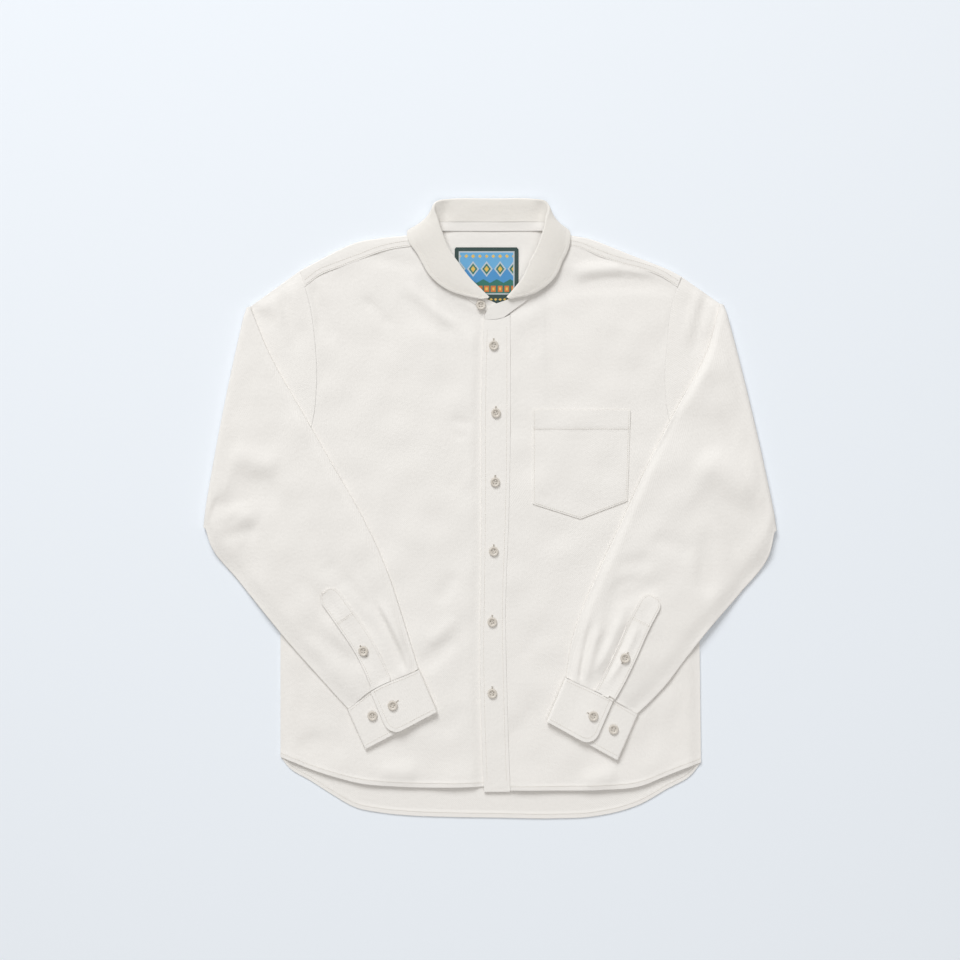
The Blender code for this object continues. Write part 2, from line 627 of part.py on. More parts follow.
def build_sleeve(side, finish):
    sign = 1.0 if side == "left" else -1.0
    sections = SLEEVE_SECTIONS[side]
    over = np.array([(s.over_x, s.over_y) for s in sections], float)
    under = np.array([(s.under_x, s.under_y) for s in sections], float)
    fold_run = unit(under[0] - over[0])
    outward = np.array([-fold_run[1], fold_run[0]]) * sign
    fold_depth = BODY_TOP + FOLD_CLEAR
    inset = outward * (SLEEVE_DEPTH + FOLD_CLEAR)
    hole = armhole(side)
    hole_share = np.append(0.0, np.cumsum(np.linalg.norm(np.diff(hole, axis=0), axis=1)))
    hole_share /= hole_share[-1]
    rings = []

    # From the armhole out to the fold, flat on the surface
    fold_over, fold_under = over[0] - inset, under[0] - inset
    for t in (0.0, 0.3, 0.62, 1.0):
        width = np.linalg.norm(fold_under - fold_over) * t + np.linalg.norm(hole[-1] - hole[0]) * (1 - t)
        distance, height = ring(width, BODY_TOP)
        share = distance / width
        start = np.stack([np.interp(share, hole_share, hole[:, axis]) for axis in (0, 1)], axis=1)
        start = start + (sign * SLEEVE_GAP, 0.0)
        end = ring_plan(fold_over, fold_under, share * np.linalg.norm(fold_under - fold_over))
        plan = start + (end - start) * t
        plan += outward * (FOLD_BULGE * 4 * share * (1 - share) * t)[:, None]
        top = height > 0
        press = relief(CAP_CREASES[side], plan[:, 0], plan[:, 1]) * top
        rings.append(np.column_stack([plan, height + BODY_TOP / 2 + press]))

    # Round the fold
    for degrees in (45.0, 90.0, 135.0):
        turn = math.radians(degrees)
        depth = BODY_TOP + (SLEEVE_DEPTH - BODY_TOP) * degrees / 180.0
        width = np.linalg.norm(fold_under - fold_over)
        distance, height = ring(width, depth)
        share = distance / width
        radial = depth / 2 + FOLD_CLEAR - height
        corner = FOLD_CORNER * math.sin(turn)
        plan = ring_plan(fold_over, fold_under, corner + share * (width - 2 * corner))
        plan += outward * (FOLD_BULGE * 4 * share * (1 - share) + radial * math.sin(turn))[:, None]
        rings.append(np.column_stack([plan, fold_depth - radial * math.cos(turn)]))

    # Back over the front, down to the cuff
    places = np.array(SLEEVE_RINGS)
    over[0], under[0] = fold_over, fold_under
    overs, unders = curve(over, places), curve(under, places)
    overs[-1] += up_sleeve(side) * CUFF_SEAM
    unders[-1] += up_sleeve(side) * CUFF_SEAM
    for k, (start, end) in enumerate(zip(overs, unders)):
        width = np.linalg.norm(end - start)
        distance, height = ring(width, SLEEVE_DEPTH)
        share = distance / width
        plan = ring_plan(start, end, distance)
        plan += outward * (FOLD_BULGE * 4 * share * (1 - share) * max(0.0, 1.0 - places[k]))[:, None]
        raised = (SLEEVE_DEPTH / 2 - height) / SLEEVE_DEPTH
        press = relief(SLEEVE_CREASES[side], plan[:, 0], plan[:, 1]) * raised * smooth(places[k] * 2)
        if k == len(overs) - 1:
            plan += cuff_rise(side, distance) * (raised > 0.9)[:, None]
        lie = bed_height(plan[:, 0], plan[:, 1], side)
        rings.append(np.column_stack([plan, lie + SLEEVE_DEPTH * raised + press]))
    return wall("sleeve_" + side, np.array(rings), FLANNEL, finish, closed=True, flip=side == "right")


def up_sleeve(side):
    """The way up a sleeve from its cuff."""
    seam, edge = SLEEVE_SECTIONS[side][-1], CUFF_EDGE[side]
    return unit(np.array([seam.over_x - edge.over_x, seam.over_y - edge.over_y], float))


def cuff_rise(side, x):
    """How the upper layer's seam to the cuff bows up the sleeve, at distances from the
    over-arm fold."""
    rise = CUFF_SEAM_RISE[side] * smooth(x / 60.0) * (1.0 - smooth((x - CUFF_LAP[side]) / CUFF_RISE_FALL))
    return rise[:, None] * up_sleeve(side)


def cuff_path(width, lap):
    """Section of a lapped cuff, on the middle of its cloth: from the end of the lap, round
    the over-arm fold, below and up round the other fold to the end of the underlap."""
    low, between, high, top = DOUBLED / 2, 1.8 * DOUBLED, 2.5 * DOUBLED, 3.1 * DOUBLED
    turn = np.radians([45.0, 90.0, 135.0])
    wide, tight = (high - low) / 2, (between - low) / 2
    lap_x = np.linspace(lap, wide, CUFF_STEPS)
    lap_z = high + (top - high) * smooth((lap_x - LAP_RISE_X) / LAP_RISE_RUN)
    under_x = np.linspace(wide, width - tight, CUFF_STEPS)
    back_x = np.linspace(width - tight, CUFF_UNDERLAP, CUFF_STEPS)
    x = np.concatenate([
        lap_x, wide - wide * np.sin(turn), under_x, width - tight + tight * np.sin(turn), back_x,
    ])
    z = np.concatenate([
        lap_z, low + wide + wide * np.cos(turn), np.full(CUFF_STEPS, low),
        low + tight - tight * np.cos(turn), np.full(CUFF_STEPS, between),
    ])
    return x, z


def build_cuff(side, finish):
    seam, edge = SLEEVE_SECTIONS[side][-1], CUFF_EDGE[side]
    over = np.array([(seam.over_x, seam.over_y), (edge.over_x, edge.over_y)], float)
    under = np.array([(seam.under_x, seam.under_y), (edge.under_x, edge.under_y)], float)
    tall = np.linalg.norm(over[1] - over[0])
    upper = np.r_[0:CUFF_STEPS, -CUFF_STEPS:0]
    rows = []
    for t in (0.0, 0.35, 0.74, 0.83, 0.91, 0.97, 1.0):
        start, end = over[0] + (over[1] - over[0]) * t, under[0] + (under[1] - under[0]) * t
        width = np.linalg.norm(end - start)
        into_corner = max(0.0, t * tall - (tall - CUFF_CORNER))
        lap = CUFF_LAP[side] - CUFF_CORNER + math.sqrt(CUFF_CORNER**2 - into_corner**2)
        x, z = cuff_path(width, lap)
        plan = start + unit(end - start) * x[:, None]
        plan[upper] += (1.0 - t) * cuff_rise(side, x)[upper]
        rows.append(np.column_stack([plan, SLEEVE_BED + z]))
    return wall("cuff_" + side, np.array(rows), DOUBLED, finish, middle=True, flip=side == "left")


def build_gauntlet(side, sleeve, finish):
    """Strip beside the sleeve's opening, from the sleeve's points moved out, with a rounded head."""
    sign = 1.0 if side == "left" else -1.0
    edge = curve(GAUNTLET_EDGE[side], GAUNTLET_ROWS)
    run = unit(np.gradient(edge, axis=0))
    across = np.stack([-run[:, 1], run[:, 0]], axis=1) * sign
    half = GAUNTLET_WIDTH / 2
    middle = edge + across * half
    widths = np.full(GAUNTLET_ROWS, half)
    for t in (0.4, 0.75, 0.95, 1.0):
        middle = np.concatenate([middle, [middle[GAUNTLET_ROWS - 1] + run[-1] * GAUNTLET_HEAD * t]])
        across = np.concatenate([across, across[-1:]])
        widths = np.append(widths, half * math.sqrt(1.0 - (0.92 * t) ** 2))
    columns = [middle + across * (widths * w)[:, None] for w in (-1.0, -0.5, 0.0, 0.5, 1.0)]
    plan = np.array(columns).transpose(1, 0, 2)

    # The foot follows the cuff seam
    seam = SLEEVE_SECTIONS[side][-1]
    start = np.array([seam.over_x, seam.over_y], float)
    along = unit(np.array([seam.under_x, seam.under_y]) - start)
    x = CUFF_LAP[side] - np.linspace(0.0, GAUNTLET_WIDTH + 1.0, 5)
    plan[0] = start + along * x[:, None] + cuff_rise(side, x) + up_sleeve(side) * (CUFF_SEAM + 0.5)
    height = upper_side(sleeve)(plan[..., 0], plan[..., 1]) + LAYER + GAUNTLET_CLOTH
    return wall("gauntlet_" + side, with_height(plan, height), GAUNTLET_CLOTH, finish, flip=side == "left")


# What lies on the panels


def build_pocket(front, finish):
    low_left, point, low_right = POCKET_FOOT
    foot = np.concatenate([np.linspace(low_left, point, 5), np.linspace(point, low_right, 5)[1:]])
    top = np.linspace(*POCKET_TOP, 9)
    right = np.linspace(*POCKET_SIDE, 9)
    left = np.linspace(POCKET_FOOT[0], POCKET_TOP[0], 9)
    plan = patch(foot, right, top, left)
    hem = POCKET_HEM_RISE * smooth((plan[..., 1] - POCKET_HEM_Y + 4.0) / 6.0)
    height = upper_side(front)(plan[..., 0], plan[..., 1]) + LAYER + FLANNEL + hem
    return wall("pocket", with_height(plan, height), FLANNEL, finish)


def build_label(finish):
    across = np.linspace(LABEL_LOW[0], LABEL_HIGH[0], LABEL_STEPS)
    up = np.linspace(LABEL_LOW[1], LABEL_HIGH[1], LABEL_STEPS)
    plan = np.stack(np.meshgrid(across, up), axis=2)
    return wall("neck_label", with_height(plan, FLANNEL + LAYER + LABEL_CLOTH), LABEL_CLOTH, finish)


def build_button(name, x, y, z, radius, finish):
    """A turned button: a raised rim round a dished middle."""
    profile = [(0.0, 0.62), (0.54, 0.66), (0.7, 1.0), (0.92, 0.94), (1.0, 0.5), (0.8, 0.0), (0.0, 0.0)]
    mesh = bmesh.new()
    verts = [mesh.verts.new((r * radius * MM, 0.0, h * BUTTON_HEIGHT * MM)) for r, h in profile]
    for a, b in zip(verts, verts[1:]):
        mesh.edges.new((a, b))
    piece = add_object(name, mesh, finish)
    turn = piece.modifiers.new("turn", "SCREW")
    turn.steps = BUTTON_SIDES
    turn.render_steps = BUTTON_SIDES
    turn.use_merge_vertices = True
    turn.merge_threshold = 0.00001
    piece.location = (x * MM, y * MM, z * MM)
    return piece


def main():
    for old in list(bpy.data.objects):
        bpy.data.objects.remove(old)
    bpy.context.scene.collection.children.link(bpy.data.collections.new("flannel_shirt"))
    flannel = material("flannel", CREAM, 0.95)
    doubled = material("doubled_flannel", CREAM_DEEP, 0.95)
    woven = material("woven_label", LABEL_GREEN, 0.8)
    corozo = material("corozo", COROZO, 0.45)

    build_back(flannel)
    build_yoke(flannel)
    build_front("right", flannel)
    front_left = build_front("left", flannel)
    placket = build_placket(doubled)
    stations = collar_stations()
    band = build_band(stations, doubled)
    build_leaf(stations, doubled)
    build_pocket(front_left, flannel)
    build_label(woven)

    on_placket = upper_side(placket)
    for k, (x, y) in enumerate(FRONT_BUTTONS):
        build_button(f"button_front_{k + 1}", x, y, float(on_placket(x, y)) + LAYER, BUTTON_R, corozo)
    x, y = BAND_BUTTON
    around = [(x + BUTTON_R * dx, y + BUTTON_R * dy) for dx, dy in ((0, 0), (0.7, 0.7), (0, 1), (1, 0))]
    z = max(float(upper_side(band)(*place)) for place in around) + LAYER
    build_button("button_band", x, y, z, BUTTON_R, corozo)
    for side in ("left", "right"):
        sleeve = build_sleeve(side, flannel)
        cuff = build_cuff(side, doubled)
        gauntlet = build_gauntlet(side, sleeve, doubled)
        for name, place, under in (
            ("gauntlet", GAUNTLET_BUTTON, gauntlet),
            ("lap", LAP_BUTTON, cuff),
            ("spare", SPARE_BUTTON, cuff),
        ):
            x, y = place[side]
            z = float(upper_side(under)(x, y)) + LAYER
            build_button(f"button_{name}_{side}", x, y, z, SLEEVE_BUTTON_R, corozo)


main()
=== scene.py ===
import math
from collections import namedtuple

import bmesh
import bpy
import numpy as np
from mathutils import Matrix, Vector
from mathutils.bvhtree import BVHTree


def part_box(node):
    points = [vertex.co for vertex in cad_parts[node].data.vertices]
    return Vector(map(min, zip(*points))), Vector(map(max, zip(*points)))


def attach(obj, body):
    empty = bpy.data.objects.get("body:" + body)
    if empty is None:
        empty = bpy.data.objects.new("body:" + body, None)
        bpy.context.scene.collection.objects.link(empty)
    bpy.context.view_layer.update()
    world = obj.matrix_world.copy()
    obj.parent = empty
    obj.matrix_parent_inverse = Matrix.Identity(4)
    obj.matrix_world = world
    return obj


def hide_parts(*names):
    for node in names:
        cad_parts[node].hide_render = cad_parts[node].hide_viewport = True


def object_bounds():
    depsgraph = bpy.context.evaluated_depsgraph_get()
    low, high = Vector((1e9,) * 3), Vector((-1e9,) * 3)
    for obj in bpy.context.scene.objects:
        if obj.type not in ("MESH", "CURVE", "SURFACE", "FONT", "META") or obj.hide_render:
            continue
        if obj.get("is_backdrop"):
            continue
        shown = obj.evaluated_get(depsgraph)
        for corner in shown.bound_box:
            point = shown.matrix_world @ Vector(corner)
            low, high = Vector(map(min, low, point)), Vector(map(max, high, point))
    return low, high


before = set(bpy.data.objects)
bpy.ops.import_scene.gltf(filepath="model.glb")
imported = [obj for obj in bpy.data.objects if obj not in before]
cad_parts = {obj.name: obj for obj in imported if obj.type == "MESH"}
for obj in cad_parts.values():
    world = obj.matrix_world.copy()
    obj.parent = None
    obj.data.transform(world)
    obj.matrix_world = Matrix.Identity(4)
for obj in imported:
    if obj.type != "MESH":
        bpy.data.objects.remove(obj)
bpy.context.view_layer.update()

# The room
# A sheet of white paper under a wide soft window light from the upper left, and the camera
# straight above it. None of it belongs to the shirt.
MM = 0.001
CAMERA_HEIGHT = 2.2
CAMERA_OVER = (-0.0133, 0.038)
FRAME_WIDTH = 1.28
SENSOR = 36.0
LAMP_WIDTH = 3.6
WORLD = {"Color": (1.0, 0.965, 0.91, 1), "Strength": 0.3}
PAPER = {"Base Color": (0.822, 0.863, 0.917, 1.0), "Roughness": 0.9}
PAPER_WIDTH = 8
PAPER_Z = -0.0002


def fill(made, inputs):
    """Give a node's inputs their values, or links from other nodes' outputs."""
    for key, value in inputs.items():
        if isinstance(value, bpy.types.NodeSocket):
            made.id_data.links.new(value, made.inputs[key])
        else:
            made.inputs[key].default_value = value


def material(name, inputs):
    """A new material with its node tree and its shader."""
    made = bpy.data.materials.new(name)
    made.use_nodes = True
    shader = made.node_tree.nodes["Principled BSDF"]
    fill(shader, inputs)
    return made, made.node_tree, shader


def node(tree, kind, inputs=None, **settings):
    """The outputs of a new node with its settings and inputs."""
    made = tree.nodes.new(kind)
    for key, value in settings.items():
        setattr(made, key, value)
    fill(made, inputs or {})
    return made.outputs


def add(name, data):
    """A new object in the scene."""
    made = bpy.data.objects.new(name, data)
    bpy.context.scene.collection.objects.link(made)
    return made


def area_light(name, place, power, colour):
    """A wide round lamp that faces the shirt."""
    light = bpy.data.lights.new(name, "AREA")
    light.shape = "DISK"
    light.size = LAMP_WIDTH
    light.energy = power
    light.color = colour
    lamp = add(name, light)
    lamp.location = place
    lamp.rotation_euler = (-Vector(place)).to_track_quat("-Z", "Y").to_euler()


camera_data = bpy.data.cameras.new("camera")
camera_data.sensor_width = SENSOR
camera_data.lens = SENSOR * CAMERA_HEIGHT / FRAME_WIDTH
camera = add("camera", camera_data)
camera.location = (*CAMERA_OVER, CAMERA_HEIGHT)
bpy.context.scene.camera = camera
area_light("window", (-1.75, 5.3, 4.15), 395, (0.965, 0.985, 1.0))
area_light("ceiling", (0.3, -1.0, 3.4), 41, (0.985, 0.99, 1.0))
world = bpy.data.worlds.new("studio")
world.use_nodes = True
fill(world.node_tree.nodes["Background"], WORLD)
bpy.context.scene.world = world
bpy.context.scene.view_settings.view_transform = "Standard"
bpy.ops.mesh.primitive_plane_add(size=PAPER_WIDTH, location=(0, 0, PAPER_Z))
floor = bpy.context.object
floor.name = "paper_floor"
floor.data.materials.append(material("paper", PAPER)[0])
floor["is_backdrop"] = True

# The back
# One panel of brushed cotton flannel that lies on the paper, from the yoke's back seam down to
# a shirt-tail hem. The hem is turned up twice and stitched, so its edge is a little thicker.
FLANNEL = 1.2
DOUBLED = 2.0
SEAM = 0.08
LAYER = 0.4
FLAT_TOP = 2 * FLANNEL + LAYER
LOFT = 1.8
BODY_TOP = FLAT_TOP + LOFT
SIDE_X = 276.0
UNDERARM_Y = 38.0
YOKE_SEAM_Y = 270.0
HEM_WIDTH = 7.5
HEM_RISE = 0.35
HEM_BAND = 0.6
HEM_ROWS = (0.6, 2.0, 4.0, 5.8, HEM_WIDTH - 0.4, HEM_WIDTH + 0.5, 11.0)
HEM_STITCH_ROW = 4
STITCH = 2.8
SIDE_SEAM = {
    "left": [(281, -338), (280, -255), (279, -175), (SIDE_X, UNDERARM_Y)],
    "right": [(-279, -331), (-279, -255), (-279, -175), (-SIDE_X, UNDERARM_Y)],
}
ARMHOLE = {
    "left": [
        (255, 309), (250.3, 296), (241.5, 270), (236, 225), (233, 158), (239, 115), (253, 75),
        (SIDE_X, UNDERARM_Y),
    ],
    "right": [
        (-253, 317), (-246.6, 296), (-239.6, 270), (-233, 225), (-231, 158), (-236, 115), (-251, 75),
        (-SIDE_X, UNDERARM_Y),
    ],
}
BACK_HEM = [
    (-279, -331), (-268, -345), (-240, -362), (-207, -383), (-180, -398), (-147, -405), (-107, -409),
    (-53, -411), (13, -412), (80, -413), (140, -410), (200, -394), (235, -374), (268, -355), (281, -338),
]
BACK_STEP = 7.0
CREAM = (0.845, 0.818, 0.785)
# A row of a table of creases, in millimetres of the plan
Crease = namedtuple("Crease", "x0 y0 x1 y1 width height bend lean", defaults=(0.0, 0.0))

def smooth(t):
    """A soft step from 0 to 1."""
    t = np.clip(t, 0.0, 1.0)
    return t * t * (3.0 - 2.0 * t)


def unit(vectors):
    """Vectors of length 1 with the same directions."""
    return vectors / np.linalg.norm(vectors, axis=-1)[..., None]


def run_of(points):
    """How far along a line each of its points is."""
    return np.concatenate([[0.0], np.cumsum(np.linalg.norm(np.diff(points, axis=0), axis=1))])


def curve(points, places):
    """Points of a smooth curve through the given ones. `places` is how many, spread evenly,
    or the places themselves, counted along the given points from 0."""
    points = np.array(points, float)
    knots = run_of(points)
    slopes = np.gradient(points, knots, axis=0)
    if np.isscalar(places):
        at = np.linspace(0.0, knots[-1], places)
    else:
        at = np.interp(places, np.arange(len(knots)), knots)
    k = np.clip(np.searchsorted(knots, at, side="right") - 1, 0, len(knots) - 2)
    span = (knots[k + 1] - knots[k])[:, None]
    t = (at - knots[k])[:, None] / span
    leave, arrive = slopes[k] * span, slopes[k + 1] * span
    return (
        (2 * t**3 - 3 * t**2 + 1) * points[k]
        + (t**3 - 2 * t**2 + t) * leave
        + (3 * t**2 - 2 * t**3) * points[k + 1]
        + (t**3 - t**2) * arrive
    )


def along(points, shares):
    """Points at shares of a line's length."""
    points = np.array(points, float)
    run = run_of(points)
    return np.stack([np.interp(shares, run / run[-1], column) for column in points.T], axis=1)


def spread(length, step, ends=(0.6, 1.8, 3.6)):
    """Shares from 0 to 1 for a grid: about a step apart, and closer near both ends."""
    inner = np.linspace(ends[-1] + step, length - ends[-1] - step, max(2, round(length / step)))
    return np.concatenate([[0.0], ends, inner, length - np.array(ends[::-1]), [length]]) / length


def patch(bottom, right, top, left, u, v):
    """A grid of plan points between four edges, at shares u across and v up."""
    bottom, top, left, right = along(bottom, u), along(top, u), along(left, v), along(right, v)
    u, v = u[None, :, None], v[:, None, None]
    low = (1 - u) * (1 - v) * bottom[0] + u * (1 - v) * bottom[-1]
    corners = low + (1 - u) * v * top[0] + u * v * top[-1]
    return (1 - v) * bottom[None] + v * top[None] + (1 - u) * left[:, None] + u * right[:, None] - corners


def away_from(x, y, line):
    """How far points of the plan are from a polyline."""
    nearest = np.full(np.shape(x), 1e9)
    for (ax, ay), (bx, by) in zip(line[:-1], line[1:]):
        run = (bx - ax) ** 2 + (by - ay) ** 2
        t = np.clip(((x - ax) * (bx - ax) + (y - ay) * (by - ay)) / run, 0.0, 1.0)
        nearest = np.minimum(nearest, np.hypot(x - ax - t * (bx - ax), y - ay - t * (by - ay)))
    return nearest


def relief(creases, x, y):
    """How far creases lift or press the cloth. A crease may bend to its left, and lean so that
    its left flank is the steeper one."""
    total = np.zeros_like(x)
    for row in creases:
        crease = Crease(*row)
        run_x, run_y = crease.x1 - crease.x0, crease.y1 - crease.y0
        long = math.hypot(run_x, run_y)
        share = ((x - crease.x0) * run_x + (y - crease.y0) * run_y) / long**2
        nearest = np.clip(share, 0.0, 1.0)
        left = ((y - crease.y0) * run_x - (x - crease.x0) * run_y) / long
        left = left - crease.bend * 4 * nearest * (1 - nearest)
        past = (share - nearest) * long
        width = crease.width * (1.0 - crease.lean * np.sign(left))
        fade = smooth(np.minimum(nearest, 1.0 - nearest) * 3.0 + 0.25)
        total += crease.height * fade * np.exp(-(left**2 + past**2) / width**2)
    return total


def shallow(lift, most):
    """Lifts of the cloth, with troughs that level out before they reach what lies below."""
    return np.where(lift < 0.0, -most * np.tanh(-lift / most), lift)


def rumple(x, y, seed, low=38.0, high=120.0, waves=14):
    """Soft unevenness of cloth that was smoothed by hand, about -1 to 1."""
    dice = np.random.default_rng(seed)
    total = np.zeros_like(x)
    for _ in range(waves):
        turn, phase = dice.uniform(0, math.pi), dice.uniform(0, 2 * math.pi)
        length = dice.uniform(low, high)
        total += np.sin(2 * math.pi * (x * math.cos(turn) + y * math.sin(turn)) / length + phase)
    return total / math.sqrt(waves) / 1.6


def hem_rise(x, y, hem):
    """How far a hem's turned band stands up along the edge."""
    return HEM_RISE * smooth(HEM_WIDTH + HEM_BAND - away_from(x, y, hem))


def noise(tree, place, scale, detail=2.0, roughness=0.5):
    """A cloudy share, from 0 to 1, that follows a place."""
    inputs = {"Vector": place, "Scale": scale, "Detail": detail, "Roughness": roughness}
    return node(tree, "ShaderNodeTexNoise", inputs)["Fac"]


def tone(tree, share, dark, light):
    """A colour between two, at a share."""
    inputs = {"Fac": share, "Color1": (*dark, 1.0), "Color2": (*light, 1.0)}
    return node(tree, "ShaderNodeMixRGB", inputs)["Color"]


def bump(tree, height, strength, distance, under=None):
    """A normal bent by a height, on top of a bump that lies under it."""
    inputs = {"Height": height, "Strength": strength, "Distance": distance}
    if under:
        inputs["Normal"] = under
    return node(tree, "ShaderNodeBump", inputs)["Normal"]


def math_node(tree, operation, first, second):
    """The sum or product of two shares."""
    return node(tree, "ShaderNodeMath", {0: first, 1: second}, operation=operation)[0]


def flannel(name, colour):
    """Brushed cotton: a fine twill under a short felted nap, a little uneven in colour."""
    made, tree, shader = material(name, {
        "Roughness": 0.96, "Specular IOR Level": 0.2, "Sheen Weight": 0.22, "Sheen Roughness": 0.55,
        "Sheen Tint": (1.0, 0.98, 0.95, 1.0),
    })
    grain = node(tree, "ShaderNodeUVMap", uv_map="grain")["UV"]
    place = node(tree, "ShaderNodeTexCoord")["Object"]
    wave = {"Vector": grain, "Scale": 230.0, "Distortion": 2.5, "Detail": 2.0, "Detail Scale": 1.5}
    twill = node(tree, "ShaderNodeTexWave", wave, bands_direction="DIAGONAL")["Fac"]
    nap = noise(tree, place, 950.0, 3.0, 0.65)
    felt = noise(tree, place, 210.0, 4.0, 0.62)
    cloud = noise(tree, place, 24.0, 3.0, 0.55)
    yarn_space = node(tree, "ShaderNodeMapping", {"Vector": grain, "Scale": (1.0, 0.06, 1.0)})["Vector"]
    yarns = noise(tree, yarn_space, 620.0)
    shares = [math_node(tree, "MULTIPLY", *pair) for pair in ((felt, 0.55), (cloud, 0.3), (yarns, 0.3))]
    blend = math_node(tree, "ADD", math_node(tree, "ADD", *shares[:2]), shares[2])
    dark, light = [c * 0.955 for c in colour], [min(1.0, c * 1.03) for c in colour]
    fill(shader, {"Base Color": tone(tree, blend, dark, light)})
    normal = None
    for height, distance in ((twill, 0.00022), (nap, 0.0003), (felt, 0.0009)):
        normal = bump(tree, height, 0.5, distance, normal)
    fill(shader, {"Normal": normal})
    return made


def thread(name, dark, light, roughness, place):
    """Sewing thread, a little uneven in colour."""
    made, tree, shader = material(name, {"Roughness": roughness})
    fleck = noise(tree, node(tree, "ShaderNodeTexCoord")[place], 2600.0)
    fill(shader, {"Base Color": tone(tree, fleck, dark, light)})
    return made


def belongs(piece, stands_for=None):
    """Put a piece on the shirt's one body, and hide the plain solid that it replaces."""
    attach(piece, "root")
    if stands_for:
        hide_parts(stands_for)


def cloth(name, grid, thickness, finish, stands_for, middle=False, closed=False, flip=False,
          keep=None):
    """A wall of cloth from a grid of points in millimetres on its outer side, or on its middle,
    with softly rounded cut edges. Its grain map is in metres across and along the grid."""
    rows, columns = grid.shape[:2]
    shell = np.concatenate([grid, grid[:, :1]], axis=1) if closed else grid
    across = np.zeros(shell.shape[:2])
    across[:, 1:] = np.cumsum(np.linalg.norm(np.diff(shell, axis=1), axis=2), axis=1)
    down = np.zeros(shell.shape[:2])
    down[1:] = np.cumsum(np.linalg.norm(np.diff(shell, axis=0), axis=2), axis=0)
    r, c = np.meshgrid(np.arange(rows - 1), np.arange(shell.shape[1] - 1), indexing="ij")
    if keep is not None:
        r, c = r[keep(r, c)], c[keep(r, c)]
    r, c = r.ravel(), c.ravel()
    corner_rows = np.stack([r, r, r + 1, r + 1], axis=1)
    corner_columns = np.stack([c, c + 1, c + 1, c], axis=1)
    if flip:
        corner_rows, corner_columns = corner_rows[:, ::-1], corner_columns[:, ::-1]
    index = corner_rows * columns + corner_columns % columns
    used, faces = np.unique(index, return_inverse=True)
    mesh = bpy.data.meshes.new(name)
    mesh.from_pydata((grid.reshape(-1, 3)[used] * MM).tolist(), [], faces.reshape(index.shape).tolist())
    grain = mesh.uv_layers.new(name="grain")
    uv = np.stack([across[corner_rows, corner_columns], down[corner_rows, corner_columns]], axis=2) * MM
    grain.data.foreach_set("uv", uv.reshape(-1).astype(np.float32))
    mesh.materials.append(finish)
    mesh.shade_smooth()
    piece = add(name, mesh)
    belongs(piece, stands_for)
    wall = piece.modifiers.new("wall", "SOLIDIFY")
    wall.thickness = thickness * MM
    wall.offset = 0.0 if middle else -1.0
    wall.use_quality_normals = True
    if not closed:
        edge = piece.modifiers.new("edge", "BEVEL")
        edge.width = thickness * 0.3 * MM
        edge.segments = 2
        edge.limit_method = "ANGLE"
        edge.angle_limit = math.radians(60)
        edge.harden_normals = True
    return piece


def with_height(plan, height):
    """Points of the plan with their heights."""
    return np.concatenate([plan, np.broadcast_to(height, plan.shape[:2])[..., None]], axis=2)


def upper_side(*pieces):
    """A function that gives the height of the pieces' upper side at points of the plan."""
    bpy.context.view_layer.update()
    graph = bpy.context.evaluated_depsgraph_get()
    trees = [BVHTree.FromObject(piece, graph) for piece in pieces]

    def height(x, y):
        best = None
        for tree in trees:
            found = tree.ray_cast(Vector((x * MM, y * MM, 1.0)), Vector((0.0, 0.0, -1.0)))[0]
            if found is not None and (best is None or found.z > best):
                best = found.z
        if best is None:
            best = trees[0].find_nearest(Vector((x * MM, y * MM, BODY_TOP * MM)))[0].z
        return best / MM

    return np.vectorize(height)


def applied(piece):
    """The mesh that a piece's modifiers make. The piece itself goes."""
    bpy.context.view_layer.update()
    mesh = bpy.data.meshes.new_from_object(piece.evaluated_get(bpy.context.evaluated_depsgraph_get()))
    bpy.data.objects.remove(piece)
    return mesh


def stitch_tree():
    """Geometry nodes that sew along the edges of a mesh: it becomes a curve, resampled to the
    stitch's length, with a short thread laid on the cloth at each point."""
    tree = bpy.data.node_groups.new("stitching", "GeometryNodeTree")
    for socket in ("Geometry", "Pitch", "Length", "Thread", "Slant", "Material"):
        kind = "NodeSocket" + (socket if socket in ("Geometry", "Material") else "Float")
        tree.interface.new_socket(socket, in_out="INPUT", socket_type=kind)
    tree.interface.new_socket("Geometry", in_out="OUTPUT", socket_type="NodeSocketGeometry")
    given = node(tree, "NodeGroupInput")
    line = node(tree, "GeometryNodeMeshToCurve", {"Mesh": given["Geometry"]})["Curve"]
    pitched = {"Curve": line, "Length": given["Pitch"]}
    points = node(tree, "GeometryNodeResampleCurve", pitched, mode="LENGTH")["Curve"]
    tangent = {"Vector": node(tree, "GeometryNodeInputTangent")["Tangent"]}
    run = node(tree, "FunctionNodeAlignEulerToVector", tangent, axis="X", pivot_axis="AUTO")["Rotation"]
    slant = node(tree, "ShaderNodeCombineXYZ", {"Z": given["Slant"]})["Vector"]
    turned = {"Rotation": run, "Rotate By": slant}
    rotation = node(tree, "FunctionNodeRotateEuler", turned, space="LOCAL")["Rotation"]
    ball = node(tree, "GeometryNodeMeshUVSphere", {"Segments": 6, "Rings": 4, "Radius": 0.5})["Mesh"]
    sides = {"X": given["Length"], "Y": given["Thread"], "Z": given["Thread"]}
    size = node(tree, "ShaderNodeCombineXYZ", sides)["Vector"]
    stitch = node(tree, "GeometryNodeTransform", {"Geometry": ball, "Scale": size})["Geometry"]
    laid = {"Points": points, "Instance": stitch, "Rotation": rotation}
    instances = node(tree, "GeometryNodeInstanceOnPoints", laid)["Instances"]
    real = node(tree, "GeometryNodeRealizeInstances", {"Geometry": instances})["Geometry"]
    painted = node(tree, "GeometryNodeSetMaterial", {"Geometry": real, "Material": given["Material"]})
    node(tree, "NodeGroupOutput", {"Geometry": painted["Geometry"]})
    return tree


